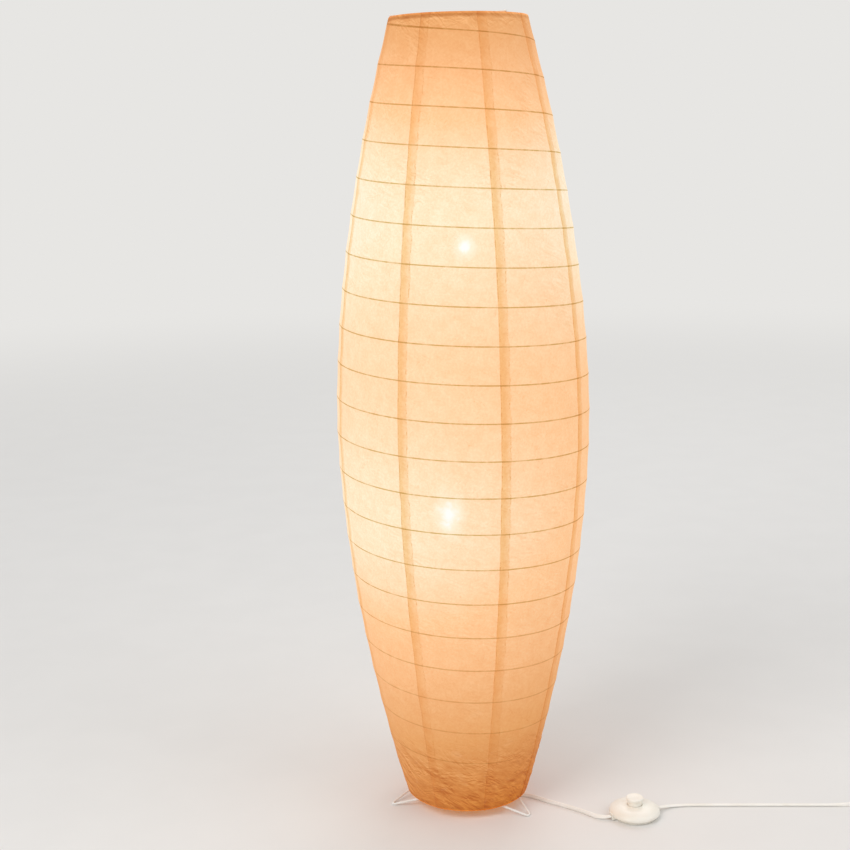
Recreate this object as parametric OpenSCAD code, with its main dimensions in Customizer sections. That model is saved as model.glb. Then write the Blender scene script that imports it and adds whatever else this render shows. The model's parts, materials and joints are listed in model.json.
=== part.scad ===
// Paper lantern floor lamp. Millimetres, +Z up, origin on the floor under the pole; the front faces -Y.

/* [Shade] */
// Height of the paper from its bottom rim to its top rim
shade_h = 1090; // [880:10:1320]
// Gap between the floor and the paper's bottom rim
rim_gap = 14; // [13:0.5:30]
// Outer radius of the paper where it is widest
belly_r = 175.5; // [140:0.5:215]
// Outer radius of the paper at the top rim
top_r = 92; // [76:0.5:125]
// Outer radius of the paper at the bottom rim
bottom_r = 87.5; // [84:0.5:120]
// Height of the widest place above the bottom rim
belly_up = 549.6; // [440:0.2:660]
// Power of the barrel curve: 2 is a parabola
barrel_power = 1.8; // [1.4:0.1:2.6]
// Thickness of the pasted paper
paper_t = 0.4; // [0.3:0.1:1]
// Number of paper gores
gores = 8; // [8]
// Angle of the first seam from the front
seam_turn = 18; // [0:1:44]

/* [Shade wires] */
// Diameter of the wound rib wire
rib_d = 1.8; // [1.2:0.1:2.5]
// Fall of the rib wire in one turn
rib_pitch = 49.4; // [35:0.2:65]
// Distance of the front rib nearest the top rim below that rim
rib_drop = 18.6; // [8:0.2:40]
// Diameter of the top ring, the bottom ring and the arms
ring_d = 2.5; // [2:0.1:4]
// Gap between the paper and the wires behind it
paper_gap = 0.4; // [0.3:0.1:1]
// Depth of the eye below the top rim
eye_depth = 12; // [8:0.5:30]
// Outer radius of the eye
eye_r = 9; // [7:0.5:14]
// Thickness of the eye
eye_t = 2.5; // [2:0.1:4]
// Length of an arm's end that lies over the top ring
arm_end = 16; // [12:0.5:24]
// Slope of an arm between the eye and the ring
arm_slope = 35; // [25:1:50]
// Direction of the first arm
arm_turn = -48; // [-60:1:-30]

/* [Stand] */
// Radial play between the bottom ring and the base ring inside it
base_play = 7; // [3:0.5:15]
// Diameter of the base ring's wire
base_d = 3.5; // [3:0.1:5]
// Diameter of the foot wires
foot_d = 3.2; // [2.5:0.1:5]
// Reach of a foot beyond the paper's bottom rim
foot_out = 28.5; // [20:0.5:45]
// Half the angle between the two legs of a foot
foot_half = 25; // [18:1:32]
// Rise of a foot wire towards the base ring
foot_tilt = 17; // [14:0.5:18]
// Bend radius at a foot's tip
foot_bend = 4; // [3.5:0.5:8]
// Direction of the first foot
foot_turn = -41; // [-50:1:-30]
// Diameter of the spokes
spoke_d = 4; // [3:0.1:6]
// Radius of the hub
hub_r = 13; // [11:0.5:20]
// Diameter of the pole
pole_d = 10; // [8:0.5:14]
// Wall of the pole's tube
pole_wall = 1; // [0.8:0.1:2]
// Length of the lower pole
lower_pole_l = 520; // [480:5:560]
// Diameter of the threaded stud on the pole
stud_d = 6; // [5:0.5:8]
// Length of the coupler between the poles
coupler_l = 32; // [24:1:50]

/* [Lights] */
// Height of the lower bulb's centre
lower_light_z = 425; // [355:5:440]
// Height of the upper bulb's centre
upper_light_z = 805; // [680:5:830]
// Gap between a bulb's glass and the pole
bulb_gap = 1; // [0.5:0.1:5]
// Direction of the lower bulb
lower_light_turn = -127; // [-140:1:-115]
// Direction of the upper bulb
upper_light_turn = 76; // [60:1:90]
// Radius of a bulb's glass
bulb_r = 30; // [25:0.5:36]
// Wall of a bulb's glass
glass_t = 0.8; // [0.5:0.1:1.5]
// Radius of a bulb's screw cap
cap_r = 13.2; // [11:0.1:14]
// Wall of a lampholder's skirt
skirt_wall = 4.7; // [4:0.1:6]

/* [Cord and switch] */
// Width of the flat cord
cord_w = 6; // [5:0.1:7]
// Thickness of the flat cord
cord_t = 3.2; // [2.6:0.1:3.6]
// Turns of the put-away coil in each layer
coil_turns = 3; // [2:1:4]
// Radius of the coil's outermost turn
coil_r = 37.2; // [34:0.2:44]
// Radial step between the coil's turns
coil_step = 4.2; // [4.2:0.1:5]
// Radius of the switch at its rim
switch_r = 35.8; // [30:0.2:44]
// Height of the switch's rim above the floor
switch_rim_z = 6; // [5:0.5:9]
// Height of the switch's dome
dome_top_z = 17; // [15:0.5:22]
// Radius of the push button at its top
button_r = 12.3; // [10:0.1:15]
// Height of the push button's top
button_top_z = 28; // [25:0.5:36]
// Travel of the push button
button_travel = 3; // [2:0.5:4]
// Wall of the switch's shells
case_t = 2; // [1.5:0.1:2.5]
// Diameter of the plug's pins
pin_d = 4; // [3.5:0.1:5]
// Distance between the plug's pins
pin_space = 19; // [17:0.1:20]
// Length of the plug's pins
pin_l = 19; // [15:0.5:22]

/* [Hidden] */
$fn = 48;
seat = 0.2;            // gap between pieces that rest on each other
fit = 0.1;             // radial play of a piece in its seat
feet = 3;
arms = 3;

// shade
shade_top = rim_gap + shade_h;
belly_z = rim_gap + belly_up;
top_ring_r = top_r - paper_t - paper_gap - ring_d / 2;
bottom_ring_r = bottom_r - paper_t - paper_gap - ring_d / 2;
arm_z = shade_top + seat + ring_d / 2;
eye_z = shade_top - eye_depth;
arm_bend = 8;

// stand
base_r = bottom_ring_r - ring_d / 2 - base_play - base_d / 2;
tip_r = bottom_r + foot_out - foot_d / 2;
foot_apex = tip_r + foot_bend * (1 / sin(foot_half) - 1);
leg_tt = pow(tan(foot_half), 2);
leg_cross = (leg_tt * foot_apex + sqrt(pow(leg_tt * foot_apex, 2)
    - (1 + leg_tt) * (leg_tt * pow(foot_apex, 2) - pow(base_r, 2)))) / (1 + leg_tt);
leg_overrun = 4;
base_z = foot_d / 2 + (tip_r - leg_cross) * tan(foot_tilt) + foot_d / 2 / cos(foot_tilt) + seat + base_d / 2;
spoke_z = base_z + base_d / 2 + seat + spoke_d / 2;
pole_r = pole_d / 2;
hub_low = 8;
hub_high = spoke_z + spoke_d / 2 + 10;
pole_seat_z = hub_low + 6;
lower_pole_top = pole_seat_z + lower_pole_l;
coupler_web = 3;
shoulder_z = eye_z - eye_t / 2 - fit;
stud_over = 8.5;
light_out = pole_r + bulb_gap + bulb_r;    // distance of a bulb's axis from the pole's

// lampholder, measured down from the bulb's centre
holder_top = -48;
holder_joint = -80;
holder_foot = -100;
sleeve_in = cap_r + 0.4;
sleeve_t = 1;
skirt_in = sleeve_in + sleeve_t + seat;
holder_r = skirt_in + skirt_wall;
cup_wall = 2;
cup_in = holder_r - cup_wall;
ledge_in = cap_r - 1.2;
bulb_foot = -75;
contact_top = bulb_foot - 0.3;
cap_top = -50;
bracket_t = 2.5;
bracket_w = 18;
collar_r = pole_r + 4;
collar_h = 14;
nipple_r = 5;
nipple_bore = 4;
nut_r = 9;
nut_h = 4;
lead_slot = cord_w + 1;

// leads along the pole
lead_r = pole_r + 0.4 + cord_t / 2;
splice_turn = -25;
splice_z = [58, 98];
splice_size = [14, 26];
splice_spread = 6.5;
band_in = norm([lead_r + cord_t / 2, cord_w / 2]) + seat;
band_h = 4;
low_run = [splice_z[1] + 45, lower_light_z - 156];
high_run = [lower_light_z - 60, upper_light_z - 156];
band_z = [low_run[0] + 10, low_run[1] - 10 - band_h, high_run[0], (high_run[0] + high_run[1]) / 2,
    high_run[1] - 10 - band_h];

// switch, coil and plug
switch_at = [236.5, -74];
switch_turn = 20;
switch_foot_r = switch_r - 5;
gland_out = 0.7;
gland_z = 5;
coil_x = 605;
layer_step = cord_w + 0.8;
coil_tail = 32;
plug_size = [35.3, 36, 13.7];
plug_neck = 18;

// Routes of the free cord, chosen by eye: x, y, its height over where it would rest, and the turn of its
// flat side from lying (0) to standing on its edge (90)
route_in = [[48, -8, 6.9, 5], [56, -9.5, 5.1, 20], [64, -11, 2.6, 40], [72, -12.5, 0.9, 65], [80, -14.4, 0.1, 85],
    [88, -17, 0, 90], [96, -21, 0, 90], [105, -27, 0, 90], [115, -34.4, 0, 90], [126.5, -41.9, 0, 90],
    [138.5, -49.6, 0, 90], [150, -57.4, 0, 90], [160, -64.6, 0, 90], [168.5, -71.5, 0, 86], [175.5, -77.9, 0.3, 75],
    [181.1, -82.9, 0.8, 60], [186, -86.2, 1.6, 42], [192, -88, 2.5, 22], [198, -87.7, 3.2, 6]];
route_out = [[277.5, -58.9, 3.1, 0], [284.5, -55.6, 2.3, 0], [292, -52, 1.1, 0], [300, -49.3, 0.3, 0],
    [310, -47.7, 0, 0], [323, -47.1, 0, 0], [338, -47, 0, 0], [353, -47, 0, 0], [370, -47.1, 0, 0],
    [387, -47.2, 0, 0], [403, -47.3, 0, 0], [418, -47.5, 0, 0], [433, -47.7, 0, 0], [448, -47.9, 0, 0],
    [463, -48.1, 0, 0], [478, -48.3, 0, 0], [493, -48.5, 0, 0], [508, -48.7, 0, 0], [523, -48.8, 0, 5],
    [537, -48.9, 0, 25], [550, -49, 0, 50], [563, -49, 0, 75], [577, -49, 0, 90]];

// Directions in the floor plane
function polar(r, a, z = 0) = [r * cos(a), r * sin(a), z];
function unit(v) = v / norm(v);

// Outer radius of the paper at height z
function shade_r(z) = let (up = z > belly_z, s = abs(z - belly_z) / (up ? shade_top - belly_z : belly_up))
    belly_r - (belly_r - (up ? top_r : bottom_r)) * pow(s, barrel_power);

// Height of the rib wire at angle a from the front, seen from above and counter-clockwise
function rib_z(a) = shade_top - rib_drop - rib_pitch * a / 360;

// One ring of a tube: n points round p, width w across and thickness t along the direction "thin"
function ring(p, heading, thin, w, t, n) = let (u = unit(thin - heading * (thin * heading)), v = cross(heading, u))
    [for (i = [0:n - 1]) p + u * t / 2 * sin(360 * (i + 0.5) / n) / cos(180 / n)
        + v * w / 2 * cos(360 * (i + 0.5) / n) / cos(180 / n)];

// Heading of a path at point i, with the two end headings given
function heading(path, i, first, last) = i == 0 ? unit(first) : i == len(path) - 1 ? unit(last)
    : unit(unit(path[i + 1] - path[i]) + unit(path[i] - path[i - 1]));

// A closed tube through rings of n points each
module tube(rings, n) {
    m = len(rings);
    points = [for (r = rings) each r];
    sides = [for (i = [0:m - 2]) for (k = [0:n - 1]) let (a = i * n + k, b = i * n + (k + 1) % n)
        each [[a, b, b + n], [a, b + n, a + n]]];
    ends = [for (k = [1:n - 2]) each [[0, k + 1, k], [(m - 1) * n, (m - 1) * n + k, (m - 1) * n + k + 1]]];
    polyhedron(points, concat(sides, ends), convexity = 10);
}

// A flat cord along a path, its thin direction given at each point
module flat_cord(path, thin, first, last, n) {
    tube([for (i = [0:len(path) - 1]) ring(path[i], heading(path, i, first, last), thin[i], cord_w, cord_t, n)], n);
}

// Least distance between the points of rings that lie one turn or more apart on a winding
function self_gap(rings, per_turn) = min([for (i = [0:len(rings) - 1]) for (k = [1:ceil(len(rings) / per_turn)])
    for (j = [i + k * per_turn - 2:i + k * per_turn + 2]) if (j < len(rings)) for (p = rings[i]) for (q = rings[j])
    norm(p - q)]);

// Points of an arc in a plane: centre c, radius r, from angle a to angle b in steps of about 15 degrees
function arc(c, r, a, b) = let (n = ceil(abs(b - a) / 15)) [for (i = [0:n]) c + r * [cos(a + (b - a) * i / n),
    sin(a + (b - a) * i / n)]];

// A round wire with 12 flats along points of one plane; its ends are square to the first and last stretch
module wire(d, path, thin) {
    m = len(path) - 1;
    tube([for (i = [0:m]) ring(path[i], heading(path, i, path[1] - path[0], path[m] - path[m - 1]), thin, d, d, 12)],
        12);
}

// ---- shade ----

// One paper gore between two seams: straight between the rib wires that it is pasted on
module paper_gore(k) {
    middle = seam_turn + (k - 0.5) * 360 / gores;
    ribs = [for (n = [-2:ceil(shade_h / rib_pitch) + 1]) rib_z(middle + 360 * n)];
    heights = concat([shade_top], [for (z = ribs) if (z < shade_top - 4 && z > rim_gap + 4) z], [rim_gap]);
    last = len(heights) - 1;
    color([1, 0.89, 0.72]) rotate(seam_turn - 90 + (k - 1) * 360 / gores) rotate_extrude(angle = 360 / gores)
        polygon(concat([for (z = heights) [shade_r(z), z]],
            [for (i = [0:last]) let (z = heights[last - i]) [shade_r(z) - paper_t, z]]));
}

rib_steps = 24;
rib_sides = 6;
rib_top_z = shade_top - ring_d - paper_gap - rib_d / 2;
rib_low_z = rim_gap + ring_d + paper_gap + rib_d / 2;
rib_from = (shade_top - rib_drop - rib_top_z) * 360 / rib_pitch;
rib_rings = [for (i = [0:floor((rib_top_z - rib_low_z) / rib_pitch * rib_steps)])
    let (a = rib_from + i * 360 / rib_steps, z = rib_z(a), r = shade_r(z) - paper_t - paper_gap - rib_d / 2,
        ahead = unit([-sin(a - 90), cos(a - 90), -rib_pitch / (2 * PI * r)]))
    ring(polar(r, a - 90, z), ahead, polar(1, a - 90), rib_d, rib_d, rib_sides)];

// The one rib wire, wound inside the paper from the top ring to the bottom ring
module rib_wire() {
    color("tan") tube(rib_rings, rib_sides);
}

module top_ring() {
    color("gainsboro") translate([0, 0, shade_top - ring_d / 2]) rotate_extrude($fn = 96)
        translate([top_ring_r, 0]) circle(d = ring_d);
}

module bottom_ring() {
    color("gainsboro") translate([0, 0, rim_gap + ring_d / 2]) rotate_extrude($fn = 96)
        translate([bottom_ring_r, 0]) circle(d = ring_d);
}

// Three arms welded to the eye that hangs the shade on the pole's stud; their ends lie over the top ring
module top_spider() {
    rise = arm_z - eye_z;
    slant = (rise - 2 * arm_bend * (1 - cos(arm_slope))) / sin(arm_slope);
    run = 2 * arm_bend * sin(arm_slope) + slant * cos(arm_slope);
    foot_x = top_r - arm_end - run;
    profile = concat([[eye_r - 1.5, 0]], arc([foot_x, arm_bend], arm_bend, -90, arm_slope - 90),
        arc([foot_x + run, rise - arm_bend], arm_bend, arm_slope + 90, 90), [[top_r, rise]]);
    color("gainsboro") difference() {
        union() {
            translate([0, 0, eye_z - eye_t / 2]) cylinder(r = eye_r, h = eye_t);
            for (i = [0:arms - 1]) rotate(arm_turn + i * 360 / arms)
                wire(ring_d - 0.1, [for (p = profile) [p.x, 0, eye_z + p.y]], [0, 1, 0]);
        }
        translate([0, 0, eye_z - eye_t]) cylinder(d = stud_d + 2 * fit, h = 2 * eye_t);
    }
}

// Domed nut that holds the eye down on the pole
module finial_nut() {
    low = eye_z + eye_t / 2 + fit;
    color("white") translate([0, 0, low]) difference() {
        rotate_extrude() polygon(concat([[0, 0], [7.5, 0], [8, 0.5], [8, 4]],
            [for (a = [0:15:90]) [2 + 6 * cos(a), 6 + 6 * sin(a)]], [[0, 12]]));
        translate([0, 0, -1]) cylinder(d = stud_d + fit, h = stud_over + 1.5);
    }
}

// ---- stand ----

module base_ring() {
    color("white") translate([0, 0, base_z]) rotate_extrude($fn = 96) translate([base_r, 0]) circle(d = base_d);
}

// One foot: a wire bent to a V whose legs rise under the base ring that is welded to them
module wire_foot(turn) {
    swing = 90 - foot_half;
    bend = arc([-foot_bend, 0], foot_bend, -swing, swing);
    leg_end = leg_cross - tip_r - leg_overrun;
    leg_side = (foot_apex - tip_r - leg_end) * tan(foot_half);
    plan = concat([[leg_end, -leg_side]], bend, [[leg_end, leg_side]]);
    rise = tan(foot_tilt);
    color("white") rotate(turn) translate([tip_r, 0, foot_d / 2])
        wire(foot_d, [for (p = plan) [p.x, p.y, -p.x * rise]], [rise, 0, 1]);
}

module spokes() {
    color("white") for (i = [0:feet - 1]) rotate(foot_turn + 60 + i * 360 / feet)
        translate([hub_r - 4, 0, spoke_z]) rotate([0, 90, 0]) cylinder(d = spoke_d, h = base_r - hub_r + 4);
}

// Turned hub that takes the pole from above and the spokes from the sides
module hub() {
    color("white") difference() {
        rotate_extrude() polygon([[0, hub_low], [hub_r - 1.5, hub_low], [hub_r, hub_low + 1.5], [hub_r, hub_high - 4],
            [pole_r + 3.5, hub_high], [0, hub_high]]);
        translate([0, 0, pole_seat_z]) cylinder(r = pole_r + fit, h = hub_high);
        for (i = [0:feet - 1]) rotate(foot_turn + 60 + i * 360 / feet) translate([hub_r - 4 - fit, 0, spoke_z])
            rotate([0, 90, 0]) cylinder(d = spoke_d + 2 * fit, h = hub_r);
    }
}

module lower_pole() {
    color("white") translate([0, 0, pole_seat_z + fit]) difference() {
        cylinder(r = pole_r, h = lower_pole_l - fit);
        translate([0, 0, -1]) cylinder(r = pole_r - pole_wall, h = lower_pole_l + 2);
    }
}

// Spigot inside the two poles, with a collar between their ends
module pole_coupler() {
    middle = lower_pole_top + fit + coupler_web / 2;
    color("silver") {
        translate([0, 0, middle - coupler_l / 2]) cylinder(r = pole_r - pole_wall - fit, h = coupler_l);
        translate([0, 0, middle - coupler_web / 2]) cylinder(r = pole_r, h = coupler_web);
    }
}

// Upper tube, closed at the top by the shoulder and stud that carry the shade
module upper_pole() {
    low = lower_pole_top + coupler_web + 2 * fit;
    color("white") {
        difference() {
            translate([0, 0, low]) cylinder(r = pole_r, h = shoulder_z - low);
            translate([0, 0, low - 1]) cylinder(r = pole_r - pole_wall, h = shoulder_z - low - 7);
        }
        translate([0, 0, shoulder_z]) cylinder(d = stud_d - fit, h = eye_t + 2 * fit + stud_over - 0.5);
    }
}

// ---- lights: each is drawn round its bulb's centre, with the pole towards -X ----

module at_light(z, turn) {
    rotate(turn) translate([light_out, 0, z]) children();
}

// Arm clamped on the pole by its collar, which is open where a lead passes, with a hole for the nipple
module bracket() {
    low = holder_foot - seat - bracket_t;
    color("white") difference() {
        union() {
            translate([-light_out, 0, low + bracket_t - collar_h]) cylinder(r = collar_r, h = collar_h);
            translate([-light_out, -bracket_w / 2, low]) cube([light_out, bracket_w, bracket_t]);
            translate([0, 0, low]) cylinder(r = bracket_w / 2, h = bracket_t);
            translate([-light_out + collar_r - 1, -1, low - 7]) cube([9, 2, 8]);
        }
        translate([-light_out - collar_r - 1, -lead_slot / 2, low - collar_h]) cube([collar_r + 1, lead_slot, 40]);
        translate([-light_out, 0, low - collar_h]) cylinder(r = pole_r + fit, h = 2 * collar_h + bracket_t);
        translate([0, 0, low - 1]) cylinder(r = nipple_r + fit, h = bracket_t + 2);
        translate([-light_out, 0, low - 5]) rotate([-90, 0, 0]) cylinder(r = 2 + fit, h = collar_r + 1);
    }
}

// Socket-headed screws that clamp the two brackets on the pole
module clamp_screws() {
    color("silver") for (light = [[lower_light_z, lower_light_turn], [upper_light_z, upper_light_turn]])
        at_light(light[0], light[1]) translate([-light_out, pole_r + fit, holder_foot - seat - bracket_t - 5])
            rotate([-90, 0, 0]) difference() {
                union() {
                    cylinder(r = 2, h = 6);
                    translate([0, 0, 4.2]) cylinder(r = 3.5, h = 3.4);
                }
                translate([0, 0, 5.6]) cylinder(r = 1.7, h = 3, $fn = 6);
            }
}

// Hollow threaded nipples that hold the lampholders on their brackets
module nipples() {
    color("silver") for (light = [[lower_light_z, lower_light_turn], [upper_light_z, upper_light_turn]])
        at_light(light[0], light[1]) translate([0, 0, holder_foot - bracket_t - 7]) difference() {
            cylinder(r = nipple_r, h = 15);
            translate([0, 0, -1]) cylinder(r = nipple_bore, h = 17);
        }
}

module nipple_nuts() {
    color("silver") for (light = [[lower_light_z, lower_light_turn], [upper_light_z, upper_light_turn]])
        at_light(light[0], light[1]) translate([0, 0, holder_foot - bracket_t - 2 * seat - nut_h]) difference() {
            cylinder(r = nut_r, h = nut_h, $fn = 6);
            translate([0, 0, -1]) cylinder(r = nipple_r + fit, h = nut_h + 2);
        }
}

// Lower cup of a lampholder
module holder_cap() {
    color("ivory") difference() {
        rotate_extrude() polygon([[0, holder_foot], [holder_r - 3, holder_foot], [holder_r, holder_foot + 3],
            [holder_r, holder_joint - seat], [cup_in, holder_joint - seat], [cup_in, holder_foot + 3],
            [0, holder_foot + 3]]);
        translate([0, 0, holder_foot - 1]) cylinder(r = nipple_r + fit, h = 6);
    }
}

// Ribbed skirt of a lampholder, with a spigot that screws into the cup
module holder_skirt() {
    spigot_r = cup_in - fit;
    color("ivory") difference() {
        union() {
            rotate_extrude() polygon([[0, holder_joint - 5], [spigot_r, holder_joint - 5], [spigot_r, holder_joint],
                [holder_r, holder_joint], [holder_r, holder_top - 6], [holder_r - 1, holder_top - 5],
                [holder_r - 1, holder_top], [0, holder_top]]);
            for (a = [0:20:340]) rotate(a) translate([holder_r - 0.5, 0, holder_joint + 2])
                cylinder(r = 0.9, h = 20, $fn = 16);
        }
        translate([0, 0, holder_joint + 3]) cylinder(r = skirt_in, h = 60);
        translate([0, 0, holder_joint - 6]) cylinder(r = ledge_in, h = 20);
    }
}

// Brass sleeve that the bulb's cap screws into
module holder_sleeve() {
    color("goldenrod") difference() {
        translate([0, 0, holder_joint + 3.2]) cylinder(r = sleeve_in + sleeve_t, h = 24);
        translate([0, 0, holder_joint]) cylinder(r = sleeve_in, h = 30);
    }
}

// Insulating disc in the cup with the sprung centre contact on it
module holder_contact() {
    color("goldenrod") {
        translate([0, 0, holder_joint - 9]) cylinder(r = ledge_in - seat, h = 10);
        translate([0, 0, holder_joint]) cylinder(r1 = 5, r2 = 3.5, h = contact_top - holder_joint);
    }
}

// Outline of a bulb's glass, r and z, drawn in by t: a globe that runs smoothly into its neck
function bulb_outline(t) = let (a = 36, neck = [cap_r + 0.4 - t, cap_top + 1],
    run = (bulb_r - t) * [cos(a), -sin(a)] - neck, bow = tan(a) * run.y / run.x)
    concat([for (b = [90:-9:-a]) (bulb_r - t) * [cos(b), sin(b)]],
        [for (s = [0.8:-0.2:0]) neck + [run.x * pow(s, bow), run.y * s]]);

module bulb_glass() {
    outside = bulb_outline(0);
    inside = bulb_outline(glass_t);
    last = len(inside) - 1;
    color("lightyellow") rotate_extrude() polygon(concat(outside, [for (i = [0:last]) inside[last - i]]));
}

module bulb_cap() {
    color("silver") rotate_extrude() polygon([[0, bulb_foot], [4.5, bulb_foot], [5, bulb_foot + 1.5],
        [9.5, bulb_foot + 4.5], [cap_r - 0.6, bulb_foot + 6], [cap_r, bulb_foot + 7.5], [cap_r, cap_top],
        [cap_r + 0.4, cap_top + 1 - 0.05], [cap_r - glass_t, cap_top + 0.95], [cap_r - 2, bulb_foot + 12],
        [0, bulb_foot + 12]]);
}

// ---- leads on the pole ----

function lead_thin(path) = [for (p = path) polar(1, atan2(p.y, p.x))];
function climb(turns, heights, n) = [for (i = [0:n]) let (s = i / n, e = s * s * (3 - 2 * s))
    polar(lead_r, turns[0] + (turns[1] - turns[0]) * e, heights[0] + (heights[1] - heights[0]) * s)];
function into_holder(z, turn) = [for (q = [[7.8, -146], [12, -137.5], [18, -131.5], [25, -126.5], [31, -121.5],
    [34.6, -116], [36, -110.5], [36, -104], [36, -97.5]]) polar(q[0] - 36 + light_out, turn, z + q[1])];
function out_of_splice(side) = let (p = polar(splice_mid, splice_turn), q = polar(splice_spread * side,
    splice_turn + 90)) [for (s = [[1, 1, 0], [1, 1, 6], [0.93, 0.95, 13], [0.8, 0.85, 21], [0.68, 0.72, 29]])
    [p.x * s[0] + q.x * s[1], p.y * s[0] + q.y * s[1], splice_z[1] + s[2]]];
splice_mid = pole_r + 0.4 + splice_size[0] / 2;

slot_turn = lower_light_turn + 180;
lower_lead_path = concat(out_of_splice(-1), climb([splice_turn - 52, lower_light_turn], low_run, 9),
    into_holder(lower_light_z, lower_light_turn));
upper_lead_path = concat(out_of_splice(1), climb([splice_turn + 52, slot_turn], low_run, 9),
    climb([slot_turn, upper_light_turn], high_run, 16), into_holder(upper_light_z, upper_light_turn));

module lower_lead() {
    color("whitesmoke") flat_cord(lower_lead_path, lead_thin(lower_lead_path), [0, 0, 1], [0, 0, 1], 8);
}

module upper_lead() {
    color("whitesmoke") flat_cord(upper_lead_path, lead_thin(upper_lead_path), [0, 0, 1], [0, 0, 1], 8);
}

// Rounded housing in which the cord is spliced to the two leads
module splice_box() {
    color("ivory") rotate(splice_turn) translate([pole_r + 0.4, 0, splice_z[0]])
        linear_extrude(splice_z[1] - splice_z[0]) difference() {
            translate([2, -splice_size[1] / 2 + 2]) offset(2, $fn = 24) square(splice_size - [4, 4]);
            translate([-pole_r - 0.4, 0]) circle(r = pole_r + 0.3);
        }
}

// Bands that hold the leads to the pole
module lead_bands() {
    color("white") for (z = band_z) translate([0, 0, z]) difference() {
        cylinder(r = band_in + 1, h = band_h);
        translate([0, 0, -1]) cylinder(r = band_in, h = band_h + 2);
    }
}

// ---- cord, grip, switch, coil and plug ----

grip_turn = -9.5;
grip_size = [10, 13, 15];
grip_sleeve = 18;
grip_z = 9;
grip_face = hub_r + grip_size[0];
grip_high = 17;
base_lead_path = [for (q = [[grip_face - 4.5, grip_turn, grip_high], [grip_face - 4.5, grip_turn, 24],
    [17.4, -12, 32], [15.6, -17, 41], [14, -22, 50]]) polar(q[0], q[1], q[2])];

// Block on the hub that grips the cord and turns it upwards, with a tapered sleeve at its mouth
module cord_grip() {
    color("ivory") rotate(grip_turn) {
        difference() {
            translate([hub_r - 3, -grip_size[1] / 2, grip_high - grip_size[2]])
                cube([grip_size[0] + 3, grip_size[1], grip_size[2]]);
            cylinder(r = hub_r + fit, h = 60);
        }
        translate([grip_face - 0.01, 0, grip_z]) rotate([0, 90, 0]) scale([0.55, 1, 1])
            cylinder(r1 = 5.6, r2 = 3.6, h = grip_sleeve, $fn = 32);
    }
}

module base_lead() {
    path = concat(base_lead_path, [polar(splice_mid, splice_turn, splice_z[0])]);
    color("whitesmoke") flat_cord(path, lead_thin(path), [0, 0, 1], [0, 0, 1], 8);
}

function rolled(route, i) = let (a = heading([for (p = route) [p.x, p.y, 0]], i, route[1] - route[0],
    route[len(route) - 1] - route[len(route) - 2]), h = unit([a.y, -a.x, 0])) h * sin(route[i][3])
    + [0, 0, cos(route[i][3])];

// Height of the cord's centre where it rests on the floor with its flat side turned by a
function rest_z(a) = 0.1 + norm([cord_w / 2 * sin(a), cord_t / 2 * cos(a)]);
function places(route) = [for (p = route) [p.x, p.y, p.z + rest_z(p[3])]];
function port(p) = [p.x, p.y, p.z - rest_z(0), 0];
gland_face = switch_r + gland_out;
full_route_in = concat([port(polar(grip_face + grip_sleeve, grip_turn, grip_z))], route_in,
    [port([switch_at.x, switch_at.y, gland_z] - polar(gland_face, switch_turn))]);
full_route_out = concat([port([switch_at.x, switch_at.y, gland_z] + polar(gland_face, switch_turn))], route_out);

module cord_to_switch() {
    color("whitesmoke") flat_cord(places(full_route_in), [for (i = [0:len(full_route_in) - 1])
        rolled(full_route_in, i)], polar(1, grip_turn), polar(1, switch_turn), 8);
}

module cord_to_plug() {
    color("whitesmoke") flat_cord(places(full_route_out), [for (i = [0:len(full_route_out) - 1])
        rolled(full_route_out, i)], polar(1, switch_turn), [1, 0, 0], 8);
}

coil_steps = 24;
coil_sides = 6;
edge_z = rest_z(90);
coil_lead = places(route_out)[len(route_out) - 1];
coil_at = [coil_x, coil_lead.y - coil_r];
// The coil's centre line: clockwise from the back, in to the inmost turn, up half a turn and out again
function coil_radius(t) = coil_r - coil_step * (t < coil_turns ? t : 2 * coil_turns - t);
function coil_height(t) = edge_z + layer_step * (1 - cos(180 * min(max(2 * (t - coil_turns) + 0.5, 0), 1))) / 2;
coil_end_t = 2 * coil_turns + 0.25;
coil_turns_path = [for (i = [0:coil_steps * coil_end_t]) let (t = i / coil_steps)
    [coil_at.x, coil_at.y, 0] + polar(coil_radius(t), 90 - 360 * t, coil_height(t))];
coil_last = coil_turns_path[len(coil_turns_path) - 1];
coil_drop = coil_last.z - plug_size.z / 2;
tail_path = [for (q = [[8, 0], [13, 0.12], [18, 0.4], [23, 0.72], [27, 0.93], [coil_tail, 1]])
    coil_last - [0, q[0], q[1] * coil_drop]];
coil_path = concat([coil_lead, coil_lead + [6, 0, 0], coil_lead + [17, 0, 0]], coil_turns_path, tail_path);
coil_thin = [for (i = [0:len(coil_path) - 1]) let (p = coil_path[i]) i < 3 ? [0, 1, 0]
    : i >= len(coil_path) - len(tail_path) ? [1, 0, 0] : unit([p.x - coil_at.x, p.y - coil_at.y, 0])];
coil_rings = [for (i = [0:len(coil_path) - 1]) ring(coil_path[i], heading(coil_path, i, [1, 0, 0], [0, -1, 0]),
    coil_thin[i], cord_w, cord_t, coil_sides)];

module cord_coil() {
    color("whitesmoke") tube(coil_rings, coil_sides);
}

module at_switch() {
    translate([switch_at.x, switch_at.y, 0]) rotate(switch_turn) children();
}

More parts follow.
